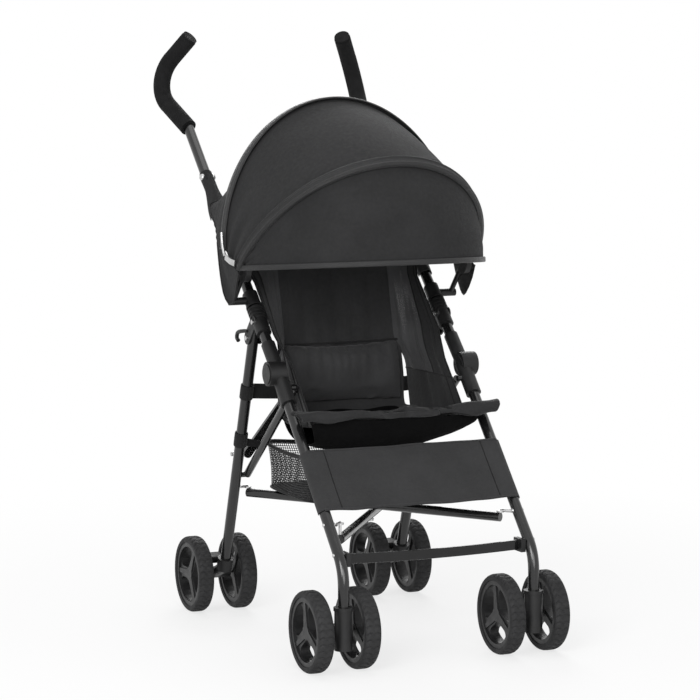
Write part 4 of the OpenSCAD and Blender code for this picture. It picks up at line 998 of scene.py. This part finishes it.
def tyre_mesh(name, centre, width, outer):
    half = width / 2
    side = [[TYRE_BORE, half - TYRE_LIP], [outer - TYRE_SHOULDER, half]]
    side += [[outer - TYRE_CROWN, half - TYRE_SHOULDER * SHOULDER_SHARE], [outer, half * FLAT_SHARE]]
    line = through([[r, -w] for r, w in side] + side[::-1], TYRE_ACROSS)
    line[:, 0] = np.clip(line[:, 0], TYRE_BORE, outer)
    line[:, 1] = np.clip(line[:, 1], -half, half)
    turn = np.linspace(0, 2 * np.pi, TYRE_AROUND, endpoint=False)
    a, i = np.meshgrid(turn, np.arange(TYRE_ACROSS), indexing="ij")
    r, w = line[i, 0], line[i, 1]
    lean = TREAD_LEAN * (1 - 2 * np.abs(((w / width * 2.0) % 1.0) - 0.5))
    groove = ((a * TREADS / (2 * np.pi) + lean) % 1.0) < TREAD_SHARE
    crown = ease((r - (outer - TREAD_EDGE)) / TREAD_EDGE_OVER)
    r = r - groove * crown * TREAD_DEPTH
    p = np.asarray(centre) + xyz(w, r * np.cos(a), r * np.sin(a))
    cell = np.arange(TYRE_AROUND * TYRE_ACROSS).reshape(TYRE_AROUND, TYRE_ACROSS)
    cell = np.vstack([cell, cell[:1]])
    faces = np.stack([cell[:-1, :-1], cell[1:, :-1], cell[1:, 1:], cell[:-1, 1:]], -1).reshape(-1, 4).tolist()
    faces += np.stack([cell[:-1, 0], cell[1:, 0], cell[1:, -1], cell[:-1, -1]], -1).tolist()
    uvs = np.stack([a * outer, w], -1).reshape(-1, 2)
    return make(name, p.reshape(-1, 3), faces, uvs, RUBBER, TYRE_SHARP)


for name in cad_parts:
    if name.endswith("_tyre"):
        low, high = (np.array(v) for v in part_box(name))
        tyre = tyre_mesh(name + "_tread", (low + high) / 2, high[0] - low[0], (high[2] - low[2]) / 2)
        rigid(tyre, name.replace("_tyre", "_wheel"))
        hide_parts(name)

# Rivets on the front legs.
RIVET_Z, RIVET_R, RIVET_HIGH, RIVET_SINK = (0.241, 0.197), 0.0034, 0.0020, 0.0004
for k, side in SIDES:
    for i, z in enumerate(RIVET_Z):
        for way, face in (("outer", k), ("inner", -k)):
            at = np.array([k * SIDE + face * (TUBE_R - RIVET_SINK), leg_y(z), z])
            name = f"{side}_leg_rivet_{i}_{way}"
            rivet = dome_mesh(name, at, (face * 1.0, 0, 0), RIVET_R, RIVET_HIGH, ZINC)
            rigid(rivet, f"{side}_frame")

# Ribs of the collars, and the fold catch.
RIBS, RIB_Z, RIB_PITCH, RIB_R, RIB_WIDE, RIB_T = 5, 0.5535, 0.0052, 0.0134, 0.0044, 0.0014
CATCH_LINE = [
    [-0.188, 0.080, 0.533], [-0.192, 0.098, 0.531], [-0.193, 0.114, 0.527], [-0.193, 0.119, 0.518],
    [-0.193, 0.112, 0.513],
]
CATCH_R, CATCH_STEPS = 0.0036, 21
for k, side in SIDES:
    for i in range(RIBS):
        z = RIB_Z + RIB_PITCH * i
        at = [k * SIDE, push_y(z), z]
        rib = band_mesh(f"{side}_collar_rib_{i}", at, PUSH_DIR, RIB_R, RIB_WIDE, RIB_T, MOULD)
        rigid(rib, f"{side}_frame")
rigid(cord_mesh("fold_catch", through(CATCH_LINE, CATCH_STEPS), CATCH_R, MOULD), "left_frame")

# Floor and world. The background is white, and the floor keeps some shadow near the stroller.
FLOOR_SIZE, FLOOR_ROUGH, FLOOR_PATCH = 60, 0.9, 2.0
FLOOR_TONES = (0.90, 0.90, 0.90), (0.92, 0.92, 0.92)
WHITE_NEAR, WHITE_FROM, WHITE_TO = 0.72, 0.7, 1.6
WORLD_LIGHT = 0.38


def background_rays(tree):
    """One for rays that look at the background straight, in a reflection or through a clear piece."""
    rays = put(tree, "LightPath", {}).outputs
    direct = maths(tree, "MAXIMUM", rays["Is Camera Ray"], rays["Is Glossy Ray"])
    return maths(tree, "MAXIMUM", direct, rays["Is Transmission Ray"])


bpy.ops.mesh.primitive_plane_add(size=FLOOR_SIZE, location=(0, 0, 0))
floor = bpy.context.object
floor.name = "studio_floor"
mat, tree, shader = new_material("studio_floor")
shader.inputs["Roughness"].default_value = FLOOR_ROUGH
shader.inputs["Specular IOR Level"].default_value = 0.0
tree.links.new(tint(tree, noise(tree, FLOOR_PATCH), *FLOOR_TONES), shader.inputs["Base Color"])
where = put(tree, "TexCoord", {}).outputs["Object"]
distance = put(tree, "VectorMath", {0: where}, operation="LENGTH").outputs["Value"]
far = spread(tree, distance, WHITE_NEAR, 1.0, WHITE_FROM, WHITE_TO)
seen = maths(tree, "MULTIPLY", far, background_rays(tree))
white = put(tree, "Emission", {"Color": (1, 1, 1, 1), "Strength": 1.0})
both = put(tree, "MixShader", {0: seen, 1: shader.outputs[0], 2: white.outputs[0]})
tree.links.new(both.outputs[0], tree.nodes["Material Output"].inputs["Surface"])
floor.data.materials.append(mat)

world = bpy.data.worlds.new("studio")
bpy.context.scene.world = world
world.use_nodes = True
tree = world.node_tree
strength = spread(tree, background_rays(tree), WORLD_LIGHT, 1.0, 0.0, 1.0)
back = tree.nodes["Background"]
back.inputs["Color"].default_value = (1, 1, 1, 1)
tree.links.new(strength, back.inputs["Strength"])


# Lamps.
def lamp(name, place, aim, size, power):
    data = bpy.data.lights.new(name, "AREA")
    data.shape = "DISK"
    data.size = size
    data.energy = power
    obj = bpy.data.objects.new(name, data)
    obj.location = place
    obj.rotation_euler = (Vector(aim) - Vector(place)).to_track_quat("-Z", "Y").to_euler()
    bpy.context.collection.objects.link(obj)


lamp("key", place=(-2.6, -2.9, 2.1), aim=(0, 0, 0.5), size=2.2, power=98)
lamp("fill", place=(-0.8, -3.9, 1.2), aim=(0, 0, 0.5), size=2.4, power=56)
lamp("top", place=(0.2, 0.2, 3.6), aim=(0, 0, 0.4), size=3.0, power=28)
lamp("back", place=(1.2, 3.0, 2.2), aim=(0, 0, 0.6), size=2.0, power=50)

# Camera, fitted to the photograph.
CAMERA_AT = Vector((-2.0299, -4.5075, 1.0753))
CAMERA_LOOK = Vector((0.4032, 0.9077, -0.1158))
CAMERA_ANGLE = 14.06
camera = bpy.data.cameras.new("camera")
camera.sensor_width = 36
camera.angle = math.radians(CAMERA_ANGLE)
eye = bpy.data.objects.new("camera", camera)
eye.location = CAMERA_AT
eye.rotation_euler = CAMERA_LOOK.to_track_quat("-Z", "Y").to_euler()
bpy.context.collection.objects.link(eye)
bpy.context.scene.camera = eye
bpy.context.scene.view_settings.view_transform = "Standard"
